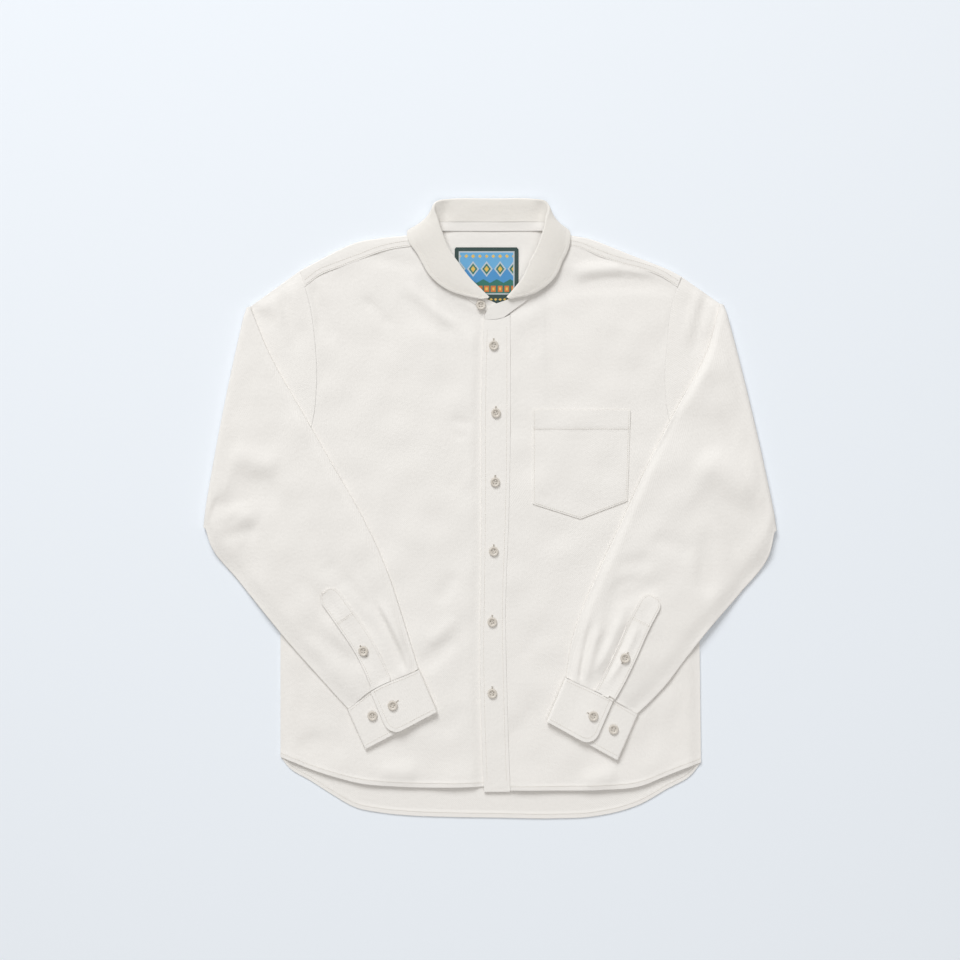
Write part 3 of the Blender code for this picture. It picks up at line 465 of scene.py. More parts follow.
def sew(name, lines, height, finish, pitch=STITCH, length=2.3, thick=0.55, slant=0.0, sink=0.12):
    """Stitches along lines of the plan, laid on the height that a function gives. Each line is
    points in millimetres, and `sink` is how deep the thread beds into the cloth."""
    mesh = bpy.data.meshes.new(name)
    verts, edges = [], []
    for line in lines:
        line = np.array(line, float)
        if line.shape[1] == 2:
            plan = along(line, np.linspace(0.0, 1.0, max(2, int(run_of(line)[-1] / 4.0) + 1)))
            line = np.column_stack([plan, height(plan[:, 0], plan[:, 1]) - sink + thick / 2])
        start = len(verts)
        verts += (line * MM).tolist()
        edges += [(start + k, start + k + 1) for k in range(len(line) - 1)]
    mesh.from_pydata(verts, edges, [])
    path = add(name + "_path", mesh)
    sewing = path.modifiers.new("stitching", "NODES")
    sewing.node_group = STITCHING
    values = {"Pitch": pitch * MM, "Length": length * MM, "Thread": thick * MM, "Slant": slant}
    values["Material"] = finish
    for item in STITCHING.interface.items_tree:
        if item.item_type == "SOCKET" and item.in_out == "INPUT" and item.name in values:
            sewing[item.identifier] = values[item.name]
    sewn = applied(path)
    sewn.name = name
    sewn.shade_smooth()
    stitches = add(name, sewn)
    belongs(stitches)
    return stitches


STITCHING = stitch_tree()
body_flannel = flannel("cream_flannel", CREAM)
thread_cream = thread("cream_sewing_thread", (0.66, 0.62, 0.56), (0.8, 0.76, 0.7), 0.7, "Object")
back_edges = {}
for side in ("right", "left"):
    hole = curve(ARMHOLE[side], 60)
    hole = hole[hole[:, 1] < YOKE_SEAM_Y][::-1]
    corner = (hole[-1][0], YOKE_SEAM_Y - SEAM)
    back_edges[side] = np.concatenate([curve(SIDE_SEAM[side], 60), hole[1:], [corner]])
back_hem = curve(BACK_HEM, 120)
back_top = np.array([back_edges["right"][-1], back_edges["left"][-1]])
back_shares = spread(2 * SIDE_X, BACK_STEP), spread(680.0, BACK_STEP, HEM_ROWS)
back_plan = patch(back_hem, back_edges["left"], back_top, back_edges["right"], *back_shares)
back_grid = with_height(back_plan, FLANNEL + hem_rise(back_plan[..., 0], back_plan[..., 1], back_hem))
back = cloth("back_panel", back_grid, FLANNEL, body_flannel, "back")
back_line = back_plan[HEM_STITCH_ROW][2:-2]
back_stitches = sew("back_hem_stitching", [back_line], upper_side(back), thread_cream)

# The collar's sections and the yoke
# The yoke is one panel up the back, over the shoulder folds and down to the front seams, where
# its turned edge laps the fronts. Its neck edge follows the collar's sections, which go from
# the middle of the back round the wearer's right to the end of the leaf.
Collar = namedtuple(
    "Collar", "neck_x neck_y neck_z roll_x roll_y roll_z edge_x edge_y edge_z share swing roll_in edge_in",
)
COLLAR = [
    Collar(4, 369.4, 3.0, 4, 411.5, 4.4, 4, 373, 0.8, 0.28, -90, 0, 0),
    Collar(-46, 369.6, 3.0, -49, 411.3, 4.8, -47, 373, 0.8, 0.28, -90, 2, 0),
    Collar(-65, 369.3, 3.8, -69, 408, 8.0, -70, 374, 0.8, 0.30, -60, 4.5, 4),
    Collar(-70.5, 364.7, 6.0, -74, 399, 11.5, -89, 375, 0.8, 0.40, -15, 5.5, 9),
    Collar(-73, 356.7, 6.2, -69, 385, 12.8, -109, 369, 4.0, 0.55, 30, 4, 12),
    Collar(-74, 347.3, 5.6, -64.5, 370, 11.8, -107, 355, 6.8, 0.70, 60, 2, 9),
    Collar(-70.5, 335.3, 4.8, -54.5, 345, 10.4, -95, 336.5, 6.4, 0.85, 85, 1, 3),
    Collar(-61.3, 314, 4.6, -40, 323.5, 9.4, -79, 309, 6.3, 0.88, 90, -1.5, 5),
    Collar(-45.3, 292.7, 4.4, -26.7, 306, 8.6, -56, 291, 6.3, 0.88, 90, -2.5, 6),
    Collar(-29.3, 278, 4.2, -12.7, 292, 7.8, -33.5, 283, 6.9, 0.86, 90, -2, 3),
    Collar(-13.3, 268, 3.8, -1.3, 281, 7.0, -12, 278.5, 8.3, 0.80, 90, -1, 6),
]
COLLAR_ENDS = len(COLLAR) - 1
COLLAR_MIDDLE_X = 4.0
COLLAR_SKEW = 0.25
COLLAR_SKEW_Y = 329.0
Band = namedtuple("Band", "neck_x neck_y neck_z top_x top_y top_z")
BAND_RIGHT_END = Band(-3, 261, 2.9, 8.5, 273, 4.2)
NECK_GAP = 0.2
SHOULDER_ROUND = BODY_TOP / 2
YOKE_TAPER = 0.947
YOKE_LAP = 0.5
NECK_RISE = 1.6
NECK_RISE_Y = 340.0
NECK_RISE_SIDE = 0.3
NECK_RISE_X = 50.0
NECK_RISE_FADE = 20.0
SHOULDER_FOLD = {
    "left": [
        (80.5, 369.4), (107, 364), (133, 359), (160, 349), (187, 338), (213, 328), (240, 317), (255, 309),
    ],
    "right": [(-72.5, 369.4), (-109, 364), (-147, 360), (-176, 355), (-200, 345), (-227, 331), (-253, 317)],
}
FRONT_YOKE_SEAM = {
    "left": [
        (83.5, 348.6), (104, 349), (117, 347), (147, 335), (173, 326), (200, 319), (227, 309),
        (249.5, 294.6),
    ],
    "right": [
        (-75.2, 348), (-99, 349), (-120, 347), (-147, 341), (-173, 331), (-200, 321), (-227, 310),
        (-246.5, 295),
    ],
}
YOKE_STITCH_ROWS = (2.2, 8.0)


def mirrored(points, inward=0.0):
    """Collar points moved to the wearer's left, where the open neck leans a little wider.
    Points may also be moved towards the middle."""
    points = np.array(points, float)
    skew = COLLAR_SKEW * np.maximum(0.0, COLLAR_SKEW_Y - points[..., 1])
    points[..., 0] = 2 * COLLAR_MIDDLE_X - points[..., 0] + skew - inward
    return points


def neck_rail(first, last, outward, steps=8):
    """The neck seam on the wearer's right between two collar sections, moved outwards. The
    place after the last section is the end of the band."""
    rail = curve(COLLAR, np.linspace(0, COLLAR_ENDS, COLLAR_ENDS * steps + 1))[:, :2]
    tail = np.linspace(rail[-1], [BAND_RIGHT_END.neck_x, BAND_RIGHT_END.neck_y], steps + 1)[1:]
    rail = np.concatenate([rail, tail])
    run = unit(np.gradient(rail, axis=0))
    moved = rail + outward * np.stack([run[:, 1], -run[:, 0]], axis=1)
    return moved[first * steps : last * steps + 1]


def yoke_fold_column(fold, end):
    """Points of the yoke over one place of the shoulder: up the back, round the fold, and down
    the front strip to its lapped edge."""
    r = SHOULDER_ROUND
    base = np.array([fold[0] * YOKE_TAPER, YOKE_SEAM_Y])
    flat = fold + (base - fold) * r / (fold[1] - base[1])
    strip = fold + (end - fold) * r / (fold[1] - end[1])
    rows = [np.append(base + (flat - base) * t, 0.0) for t in YOKE_ROWS]
    for turn in YOKE_TURNS:
        start = flat if turn < math.pi / 2 else strip
        rows.append(np.append(start + (fold - start) * math.sin(turn), r - r * math.cos(turn)))
    for t in YOKE_STRIP_ROWS:
        lap = YOKE_LAP * smooth(t * 3.0)
        rows.append(np.append(strip + (end - strip) * t, 2 * r + lap))
    return rows


def yoke_neck_column(seam):
    """Points of the yoke below the collar, up to the neck seam."""
    base = np.array([seam[0] * YOKE_TAPER, YOKE_SEAM_Y])
    from_middle = abs(seam[0] - COLLAR_MIDDLE_X)
    beyond = smooth((from_middle - NECK_RISE_X) / NECK_RISE_FADE)
    rise = NECK_RISE * (1.0 - (1.0 - NECK_RISE_SIDE) * beyond)
    plan = [base + (seam - base) * t for t in YOKE_ROWS]
    long = seam[1] - NECK_RISE_Y
    rows = [np.append(point, rise * smooth((point[1] - NECK_RISE_Y) / long)) for point in plan]
    return rows + rows[-1:] * (len(YOKE_TURNS) + len(YOKE_STRIP_ROWS))


YOKE_ROWS = np.concatenate([[0.0, 0.006, 0.02], np.linspace(0.06, 0.9, 14), np.linspace(0.92, 1.0, 5)])
YOKE_TURNS = np.radians(np.arange(15.0, 181.0, 15.0))
YOKE_STRIP_ROWS = np.concatenate([np.linspace(0.08, 0.92, 9), [0.96, 1.0]])
SHOULDER_PLACES = 52
yoke_columns, yoke_lines = [], []
for side in ("right", "left"):
    folds = curve(SHOULDER_FOLD[side], SHOULDER_PLACES)
    seams = curve(FRONT_YOKE_SEAM[side], SHOULDER_PLACES)
    columns = [yoke_fold_column(fold, end) for fold, end in zip(folds, seams)]
    yoke_columns.append(columns)
    ends = np.array([column[-1][:2] for column in columns])
    strips = np.array([column[-len(YOKE_STRIP_ROWS)][:2] for column in columns])
    yoke_lines += [(ends + unit(strips - ends) * inset)[1:-1] for inset in YOKE_STITCH_ROWS]
neck_half = neck_rail(0, 2, -NECK_GAP)
neck_seam = np.concatenate([neck_half[::-1], mirrored(neck_half)[1:]])
neck_columns = [yoke_neck_column(seam) for seam in neck_seam]
yoke_grid = np.array(yoke_columns[0][::-1] + neck_columns + yoke_columns[1]).transpose(1, 0, 2)
last_neck = SHOULDER_PLACES + len(neck_columns)
yoke = cloth(
    "yoke_panel", yoke_grid, FLANNEL, body_flannel, "yoke", flip=True,
    keep=lambda row, column: (
        (row < len(YOKE_ROWS) - 1) | (column < SHOULDER_PLACES - 1) | (column >= last_neck)
    ),
)
yoke_stitches = sew("yoke_stitching", yoke_lines, upper_side(yoke), thread_cream)

# The label
# A woven damask label, folded under and sewn to the inside of the yoke below the collar. It is
# woven from a few coloured yarns, a pick at a time.
LABEL_LOW = (-48.0, 272.0)
LABEL_HIGH = (39.0, 349.0)
LABEL_PICK = 0.55
LABEL_CLOTH = 1.0
LABEL_CORNER = 5.0
LABEL_CURL = 0.5
LABEL_CURL_WIDTH = 7.0
LABEL_WAVE = 0.12
LABEL_BORDER = 6.6
LABEL_LINE = 1.7
LABEL_FOOT = 13.0
LABEL_GREEN = (0.022, 0.055, 0.05)
LABEL_PALE = (0.5, 0.56, 0.6)
LABEL_BLUE = (0.06, 0.27, 0.56)
LABEL_SKY = (0.13, 0.39, 0.66)
LABEL_LEAF = (0.02, 0.16, 0.12)
LABEL_ORANGE = (0.62, 0.17, 0.035)
LABEL_YELLOW = (0.75, 0.48, 0.09)


LABEL_INSET = 1.6
LABEL_FINISH = {"Roughness": 0.62, "Sheen Weight": 0.15}
LOZENGE_PITCH = 18.0
LOZENGE_Y = 34.0
LOZENGE_HALF = (8.0, 10.5)
STEP_LOW = 15.5
STEP_HIGH = 5.0
BAR_PITCH = 9.0
DOT_Y = 51.0
FOOT_PITCH = 6.0


def beside(x, middle, pitch):
    """How far x is from the nearest of a row of things, a pitch apart."""
    return np.abs((x - middle + pitch / 2) % pitch - pitch / 2)


def label_colours(x, y, width, height):
    """Yarn colours of the label: a plain geometric band of lozenges and steps on a blue ground,
    in a green border with a pale inner line."""
    inset = np.minimum(np.minimum(x, width - x), np.minimum(y, height - y))
    inside = (inset > LABEL_BORDER + LABEL_LINE) & (y > LABEL_FOOT + LABEL_LINE)
    colours = np.empty(x.shape + (3,))
    colours[:] = LABEL_GREEN
    colours[(inset > LABEL_BORDER) & (y > LABEL_FOOT) & ~inside] = LABEL_PALE
    colours[inside] = LABEL_BLUE
    up = y - LABEL_FOOT
    lozenge = beside(x, width / 2, LOZENGE_PITCH) / LOZENGE_HALF[0]
    lozenge = lozenge + np.abs(up - LOZENGE_Y) / LOZENGE_HALF[1]
    steps = STEP_LOW + STEP_HIGH * np.abs(((x - width / 2) / BAR_PITCH + 0.5) % 2.0 - 1.0)
    bars = beside(x, width / 2, BAR_PITCH)
    for where, colour in (
        (up > LOZENGE_Y, LABEL_SKY), (lozenge < 1.0, LABEL_PALE),
        (lozenge < 0.72, LABEL_LEAF), (lozenge < 0.38, LABEL_YELLOW), (up < steps, LABEL_LEAF),
        ((up > 3.5) & (up < 11.5) & (bars < 3.2), LABEL_ORANGE),
        ((up > 5.5) & (up < 9.5) & (bars < 1.4), LABEL_YELLOW),
        (bars + np.abs(up - DOT_Y) < 2.6, LABEL_YELLOW),
    ):
        colours[inside & where] = colour
    foot_marks = beside(x, width / 2, FOOT_PITCH) + 1.4 * np.abs(y - LABEL_FOOT / 2)
    colours[(inset > 2.2) & (foot_marks < 2.3)] = LABEL_YELLOW
    return colours


label_size = np.subtract(LABEL_HIGH, LABEL_LOW)
x, y = np.meshgrid(*[np.linspace(0.0, size, int(size / LABEL_PICK)) for size in label_size])
from_side, from_top = np.minimum(x, label_size[0] - x), label_size[1] - y
curl = LABEL_CURL * smooth(1.0 - from_side / LABEL_CURL_WIDTH) * smooth(y / label_size[1])
label_z = FLANNEL + LAYER + LABEL_CLOTH + curl + LABEL_WAVE * rumple(x, y, 5, 20.0, 60.0)
label_grid = np.stack([LABEL_LOW[0] + x, LABEL_LOW[1] + y, label_z], axis=2)
near_corner = np.hypot(np.maximum(0.0, LABEL_CORNER - from_side), np.maximum(0.0, LABEL_CORNER - from_top))
label_cells = near_corner < LABEL_CORNER * 0.86
woven, woven_tree, woven_shader = material("woven_label_yarn", LABEL_FINISH)
yarn_place = node(woven_tree, "ShaderNodeUVMap", uv_map="grain")["UV"]
waves = []
for scale, direction in ((560.0, "Y"), (420.0, "X")):
    inputs = {"Vector": yarn_place, "Scale": scale, "Distortion": 0.6}
    waves.append(node(woven_tree, "ShaderNodeTexWave", inputs, bands_direction=direction)["Fac"])
woven_bump = bump(woven_tree, math_node(woven_tree, "MULTIPLY", *waves), 0.6, 0.00025)
yarn_colour = node(woven_tree, "ShaderNodeAttribute", attribute_name="yarn")["Color"]
fill(woven_shader, {"Base Color": yarn_colour, "Normal": woven_bump})
label = cloth(
    "neck_label_woven", label_grid, LABEL_CLOTH, woven, "neck_label",
    keep=lambda row, column: label_cells[row, column] & label_cells[row + 1, column + 1],
)
label_verts = np.array([v.co for v in label.data.vertices]) / MM
label_colour = label_colours(label_verts[:, 0] - LABEL_LOW[0], label_verts[:, 1] - LABEL_LOW[1], *label_size)
yarn = label.data.color_attributes.new("yarn", "FLOAT_COLOR", "POINT")
yarn_colours = np.column_stack([label_colour, np.ones(len(label_colour))])
yarn.data.foreach_set("color", yarn_colours.ravel().astype(np.float32))
thread_green = thread("green_label_thread", (0.012, 0.03, 0.027), (0.03, 0.07, 0.06), 0.6, "Generated")
(low_x, low_y), (high_x, high_y) = np.add(LABEL_LOW, LABEL_INSET), np.subtract(LABEL_HIGH, LABEL_INSET)
cut = LABEL_CORNER - LABEL_INSET
label_edge = [
    (low_x, low_y), (high_x, low_y), (high_x, high_y - cut), (high_x - cut, high_y), (low_x + cut, high_y),
    (low_x, high_y - cut), (low_x, low_y),
]
label_stitches = sew("label_stitching", [label_edge], upper_side(label), thread_green,
                     thick=0.4)

# The fronts
# Two panels of flannel on the back, from the yoke's front seams to the hem. The wearer's right
# one runs on below the placket, and the left one ends at the placket's seam.
FRONT_STEP = 4.0
UNDER_PLACKET_X = 20.0
DIP_START = -16.0
DIP_END = -2.5
FRONT_RUMPLE = 0.8
FRONT_CLEAR = 2.0
ARMHOLE_FREE = 7.0
SIDE_FALL_START = 14.0
SIDE_FALL = 16.0
HEM_LOFT = 0.7
HEM_LOFT_SHARE = 0.09
PLACKET_RISE = 2.0
FRONT_HEM = {
    "left": [(281, -338), (258, -346), (233, -356), (200, -369), (147, -374), (80, -375), (27, -375)],
    "right": [
        (-279, -331), (-262, -337), (-240, -346), (-213, -355), (-180, -364), (-120, -370), (-53, -371),
        (24, -369),
    ],
}
PLACKET_LEFT_EDGE = [(27, 258), (27, 78), (25, -15), (21, -122), (23, -255), (27, -377)]
PLACKET_FREE_EDGE = [(-8, 252), (-11, 145), (-11, 11), (-12, -122), (-13, -189), (-12, -255), (-8, -377)]
FRONT_CREASES = [
    (-96, 308, -14, 250, 10, -2.6, -8), (-112, 300, -40, 246, 8, 1.4, -6), (-122, 290, -44, 228, 10, -2, -6),
    (16, 262, 116, 320, 12, -2.8, -10), (108, 292, 246, 290, 9, -2.4, 12, 0.2),
    (110, 312, 220, 306, 9, 1.8, 8),
    (-238, 300, -226, 232, 6, -2.4, 2), (-248, 296, -234, 240, 6, 2.2), (-226, 262, -208, 226, 8, -1.4),
    (-168, 280, -132, 244, 3, -1.1, 1), (-160, 268, -138, 250, 4, 0.7), (-160, 334, -90, 322, 9, -1.8),
    (-168, 280, -130, 238, 7, -1.4), (-222, 280, -214, 216, 9, -1.4), (-70, 280, -15, 232, 13, -1.8),
    (-92, -212, -44, -172, 10, -2.2), (-84, -182, -44, -146, 10, 1.8), (-70, -126, -44, -86, 9, -1.4),
    (-255, -322, -224, -304, 10, -1.8), (90, 295, 232, 305, 10, -2.2), (105, 318, 178, 320, 9, 1.6),
    (120, -365, 170, -352, 13, 2.9), (-150, -352, -95, -350, 13, 2.2), (-52, 118, -24, 113, 5, -0.9),
    (-48, 98, -30, 94, 4, -0.7), (-60, 262, -24, 258, 6, -1.1, 2), (-170, 205, -120, 150, 12, -0.8, 6),
    (60, 262, 120, 244, 12, -0.9, 5), (40, 238, 64, 200, 9, -0.7), (150, 244, 205, 232, 12, 0.7),
    (-60, 20, -28, 60, 9, -0.6), (60, -60, 110, -30, 14, -0.6, 5), (40, -200, 70, -160, 10, -0.7),
    (36, -300, 60, -262, 9, -0.6), (-66, -300, -30, -262, 11, -0.8), (-200, -330, -186, -270, 10, -0.9, 4),
    (205, -345, 214, -280, 11, -0.9, -4), (240, -300, 262, -240, 10, -0.7),
    (-254, -280, -236, -200, 10, -0.7),
]


def front_height(x, y, side, from_hem):
    """Height of a front's upper side: level with the sleeves and the yoke, thin along the side
    seam, a little higher near the hem, and pressed flat below the placket."""
    below_arm = smooth((UNDERARM_Y + 30.0 - y) / 40.0)
    side_fall = smooth((np.abs(x) - (SIDE_X - SIDE_FALL_START)) / SIDE_FALL) * below_arm
    near_hem = HEM_LOFT * smooth(1.0 - from_hem / HEM_LOFT_SHARE)
    loft = LOFT * (1.0 - side_fall) * (1.0 + near_hem)
    if side == "right":
        free_edge = np.array(PLACKET_FREE_EDGE[::-1], float)
        beside = x - np.interp(y, free_edge[:, 1], free_edge[:, 0])
        loft = loft * (1.0 - smooth((beside - DIP_START) / (DIP_END - DIP_START)))
    free = smooth(np.minimum(loft / LOFT, 1.0)) * smooth(away_from(x, y, ARMHOLE[side]) / ARMHOLE_FREE)
    lift = shallow(relief(FRONT_CREASES, x, y) + FRONT_RUMPLE * rumple(x, y, 11), FRONT_CLEAR)
    return FLAT_TOP + loft + lift * free


fronts = {}
for side in ("right", "left"):
    hole = curve(ARMHOLE[side], 90)
    corner = np.array(FRONT_YOKE_SEAM[side][-1], float) - (0.0, SEAM)
    hole = hole[hole[:, 1] < corner[1] - 3.0][::-1]
    side_edge = np.concatenate([curve(SIDE_SEAM[side], 60), hole[1:], [corner]])
    seam = curve(FRONT_YOKE_SEAM[side], 60)[::-1] - (0.0, SEAM)
    if side == "right":
        neck = neck_rail(5, COLLAR_ENDS + 1, NECK_GAP)
        centre = curve([FRONT_HEM[side][-1], (UNDER_PLACKET_X, -15), (UNDER_PLACKET_X, 257)], 60)
    else:
        neck = mirrored(neck_rail(5, COLLAR_ENDS, NECK_GAP))
        down = np.array(PLACKET_LEFT_EDGE[::-1], float) + (SEAM, 0.0)
        down[0, 1] = FRONT_HEM[side][-1][1]
        down[-1, 1] += PLACKET_RISE
        centre = curve(down, 60)
    top = np.concatenate([seam[:-1], neck, centre[-1:]])
    hem = curve(FRONT_HEM[side], 80)
    hem[-1] = centre[0]
    rows = spread(690.0, FRONT_STEP, HEM_ROWS)
    plan = patch(hem, centre, top, side_edge, spread(310.0, FRONT_STEP, (0.6, 1.8, 3.4)), rows)
    x, y = plan[..., 0], plan[..., 1]
    grid = with_height(plan, front_height(x, y, side, rows[:, None]) + hem_rise(x, y, hem))
    flip = side == "left"
    piece = cloth("front_panel_" + side, grid, FLANNEL, body_flannel, "front_" + side, flip=flip)
    line = plan[HEM_STITCH_ROW][2:-2]
    stitches = sew("front_hem_stitching_" + side, [line], upper_side(piece), thread_cream)
    fronts[side] = piece

# The placket
# A folded strip on the left front's edge, stitched near both sides. It carries six upright
# buttonholes, and its free edge lies over the right front.
PLACKET_WIDTH = 38.0
PLACKET_WAVE = 0.16
PLACKET_GROOVE = 0.14
PLACKET_NECK = [(6, 251.4), (18, 253.9)]
PLACKET_TOP = FLAT_TOP + LAYER + DOUBLED
PLACKET_STITCH = 5.0
PLACKET_STEP = 3.0
PLACKET_ENDS = (0.5, 1.5, 3.0)
free_edge, seam_edge = curve(PLACKET_FREE_EDGE[::-1], 80), curve(PLACKET_LEFT_EDGE[::-1], 80)
placket_top = curve([free_edge[-1], *PLACKET_NECK, seam_edge[-1]], 20)
placket_bottom = np.linspace(free_edge[0], seam_edge[0], 5)
u, v = [spread(length, PLACKET_STEP, PLACKET_ENDS) for length in (PLACKET_WIDTH, 630.0)]
placket_plan = patch(placket_bottom, seam_edge, placket_top, free_edge, u, v)
placket_in = np.minimum(u, 1.0 - u)[None, :] * PLACKET_WIDTH
placket_wave = PLACKET_WAVE * rumple(placket_plan[..., 0], placket_plan[..., 1], 21, 22.0, 70.0)
placket_wave -= PLACKET_GROOVE * smooth(1.0 - np.abs(placket_in - PLACKET_STITCH) / 2.4)
placket_grid = with_height(placket_plan, PLACKET_TOP + placket_wave)
placket = cloth("placket_strip", placket_grid, DOUBLED, body_flannel, "placket")
row = PLACKET_STITCH / PLACKET_WIDTH
lines = [free_edge[2:-2] + (seam_edge[2:-2] - free_edge[2:-2]) * share for share in (row, 1.0 - row)]
placket_stitches = sew("placket_stitching", lines, upper_side(placket), thread_cream)

# The pocket
# A patch of flannel with a pointed foot on the left breast, its edges turned under and
# stitched, its mouth hemmed.
POCKET_MOUTH = [(57.0, 131.0), (187.0, 131.0)]
POCKET_FOOT = [(57.0, 6.0), (120.0, -14.0), (183.0, 10.0)]
POCKET_HEM = 25.0
POCKET_HEM_RISE = 0.45
POCKET_FALL = 0.25
POCKET_STITCH = 2.2
POCKET_STEP = 3.0
POCKET_ENDS = (0.5, 1.4, 2.8)
POCKET_CREASES = [(60, 118, 66, 96, 4, -0.5), (150, 60, 158, 40, 5, -0.25), (66, 20, 78, 12, 5, -0.4)]
(mouth_left, mouth_y), (mouth_right, _) = POCKET_MOUTH
foot_left, foot_point, foot_right = POCKET_FOOT
u, v = [spread(length, POCKET_STEP, POCKET_ENDS) for length in (132.0, 120.0)]
edges = POCKET_FOOT, [foot_right, POCKET_MOUTH[1]], POCKET_MOUTH, [foot_left, POCKET_MOUTH[0]]
pocket_plan = patch(*edges, u, v)
x, y = pocket_plan[..., 0], pocket_plan[..., 1]
from_mouth = mouth_y - y
pocket_rim = np.minimum(away_from(x, y, [POCKET_MOUTH[0], *POCKET_FOOT, POCKET_MOUTH[1]]), 20.0)
below_hem = smooth(1.0 - np.abs(from_mouth - POCKET_HEM - 1.0) / 3.0)
pocket_rise = POCKET_HEM_RISE * smooth((POCKET_HEM + 0.8 - from_mouth) / 1.6)
pocket_rise += relief(POCKET_CREASES, x, y) - POCKET_FALL * (smooth(1.0 - pocket_rim / 5.0) + below_hem)
pocket_grid = with_height(pocket_plan, upper_side(fronts["left"])(x, y) + LAYER + FLANNEL + pocket_rise)
pocket = cloth("breast_pocket", pocket_grid, FLANNEL, body_flannel, "pocket")
pocket_lines = [
    [
        (mouth_left + POCKET_STITCH, mouth_y - 1.5), (foot_left[0] + POCKET_STITCH, foot_left[1] + 1.6),
        (foot_point[0], foot_point[1] + POCKET_STITCH + 0.2),
        (foot_right[0] - POCKET_STITCH, foot_right[1] + 1.4),
        (mouth_right - POCKET_STITCH, mouth_y - 1.5),
    ],
    [(mouth_left + 2.5, mouth_y - POCKET_HEM), (mouth_right - 2.5, mouth_y - POCKET_HEM)],
]
pocket_stitches = sew("pocket_stitching", pocket_lines, upper_side(pocket), thread_cream)

# The collar
# A stand, or band, of two layers round the neck, with the leaf sewn to its upper edge. The leaf
# falls down behind the back, and over the fronts at both sides. The band's left end laps over
# its right one, unfastened.
# The leaf's cream is the body's cream made darker: painted shade, for the light that the leaf turns away
# from.
COLLAR_CREAM_PAINTED_SHADE = (0.806, 0.775, 0.73)
LEAF_CLOTH = 1.6
LEAF_ROLL = 1.4
LEAF_BELLY = 1.2
LEAF_FULL = 34.0
LEAF_GAP = 0.35
LEAF_STITCH = 5.5
LEAF_LIFT = 1.0
LEAF_RIM = 0.7
LEAF_RIM_WIDTH = 6.0
LEAF_LIFT_Y = 356.0
LEAF_STITCH_END_Y = 352.0
STAND_LIFT = 2.8
STAND_LIFT_Y = 385.0
STAND_WAVE = 0.35
STAND_LOW_Y = 369.0
STAND_HIGH_Y = 412.0
STAND_CREASES = [
    (-59, 366, -61, 420, 8, -2.6), (66, 366, 68, 420, 9, -3.0), (-24, 389, 22, 386, 6, -0.9),
    (30, 394, 56, 388, 6, -1.1), (-50, 384, -22, 391, 6, 0.9), (-8, 380, 40, 384, 4, 0.8),
]
BAND_LEFT_END = [
    Band(18, 254.2, 4.0, 6, 272, 5.9),
    Band(6, 251.8, 4.1, -3, 265.5, 5.7),
    Band(-6.5, 251.7, 4.3, -7.6, 256, 5.1),
]


def stand_waves(x, y):
    """Soft waves of the stand's inner face behind the neck."""
    behind = smooth((y - STAND_LOW_Y) / 26.0) * smooth((STAND_HIGH_Y - y) / 10.0)
    return behind * (relief(STAND_CREASES, x, y) + STAND_WAVE * rumple(x, y, 41, 22.0, 60.0))


half = curve(COLLAR, np.linspace(0, COLLAR_ENDS, COLLAR_ENDS * 8 + 1))
other = half.copy()
for first, inward in ((0, 0.0), (3, half[:, 11]), (6, half[:, 12])):
    other[:, first : first + 3] = mirrored(half[:, first : first + 3], inward)
whole = np.concatenate([half[::-1], other[1:]])
neck, roll, edge = whole[:, 0:3], whole[:, 3:6], whole[:, 6:9]
roll[:, 2] += STAND_LIFT * smooth((roll[:, 1] - STAND_LIFT_Y) / 20.0)
edge[:, 2] += LEAF_LIFT * smooth((LEAF_LIFT_Y - edge[:, 1]) / 24.0)
collar_share, swing = whole[:, 9:10], np.radians(whole[:, 10:11])
outward = edge - roll
outward[:, 2] = 0.0
lift = unit(outward) * np.cos(swing) + np.array([0.0, 0.0, 1.0]) * np.sin(swing)
rise = unit(roll - neck)
lift = unit(lift - rise * np.sum(lift * rise, axis=1, keepdims=True))
band_top = neck + (roll - neck) * collar_share
leaf_middle = roll + LEAF_ROLL * (lift - rise)
leaf_rows = [band_top + LEAF_GAP * rise]
leaf_start = leaf_middle - LEAF_ROLL * lift
for t in (0.33, 0.67):
    leaf_rows.append(leaf_rows[0] * (1 - t) + leaf_start * t)
for turn in np.radians(np.arange(0.0, 181.0, 15.0)):
    leaf_rows.append(leaf_middle + LEAF_ROLL * (rise * math.sin(turn) - lift * math.cos(turn)))
leaf_fold = leaf_rows[-1]
reach = np.linalg.norm(edge - leaf_fold, axis=1, keepdims=True)
for t in np.append(np.linspace(0.05, 0.95, 19), [0.975, 1.0]):
    belly = LEAF_BELLY * 4 * t * (1 - t) * reach / LEAF_FULL
    rim = LEAF_RIM * smooth((LEAF_RIM_WIDTH - (1 - t) * reach) / 2.0)
    leaf_rows.append(leaf_fold + (edge - leaf_fold) * t + lift * (belly + rim))
leaf_grid = np.array(leaf_rows).transpose(1, 0, 2)
inside = leaf_grid[:, :8]
inside[..., 2] += stand_waves(inside[..., 0], inside[..., 1])
leaf_grid[..., 2] = np.maximum(leaf_grid[..., 2], LEAF_CLOTH / 2)
# A darker copy of the body's flannel for the leaf: painted shade, not a different cloth.
collar_flannel_painted_shade = flannel("cream_flannel_collar_painted_shade", COLLAR_CREAM_PAINTED_SHADE)
leaf = cloth("collar_leaf_cloth", leaf_grid, LEAF_CLOTH, collar_flannel_painted_shade, "collar_leaf",
             middle=True)
leaf_line = edge + unit(leaf_fold - edge) * LEAF_STITCH
halves = (leaf_line[: len(leaf_line) // 2], leaf_line[len(leaf_line) // 2 :])
lines = [line[line[:, 1] < LEAF_STITCH_END_Y][:, :2] for line in halves]
leaf_stitches = sew("collar_leaf_stitching", lines, upper_side(leaf), thread_cream)

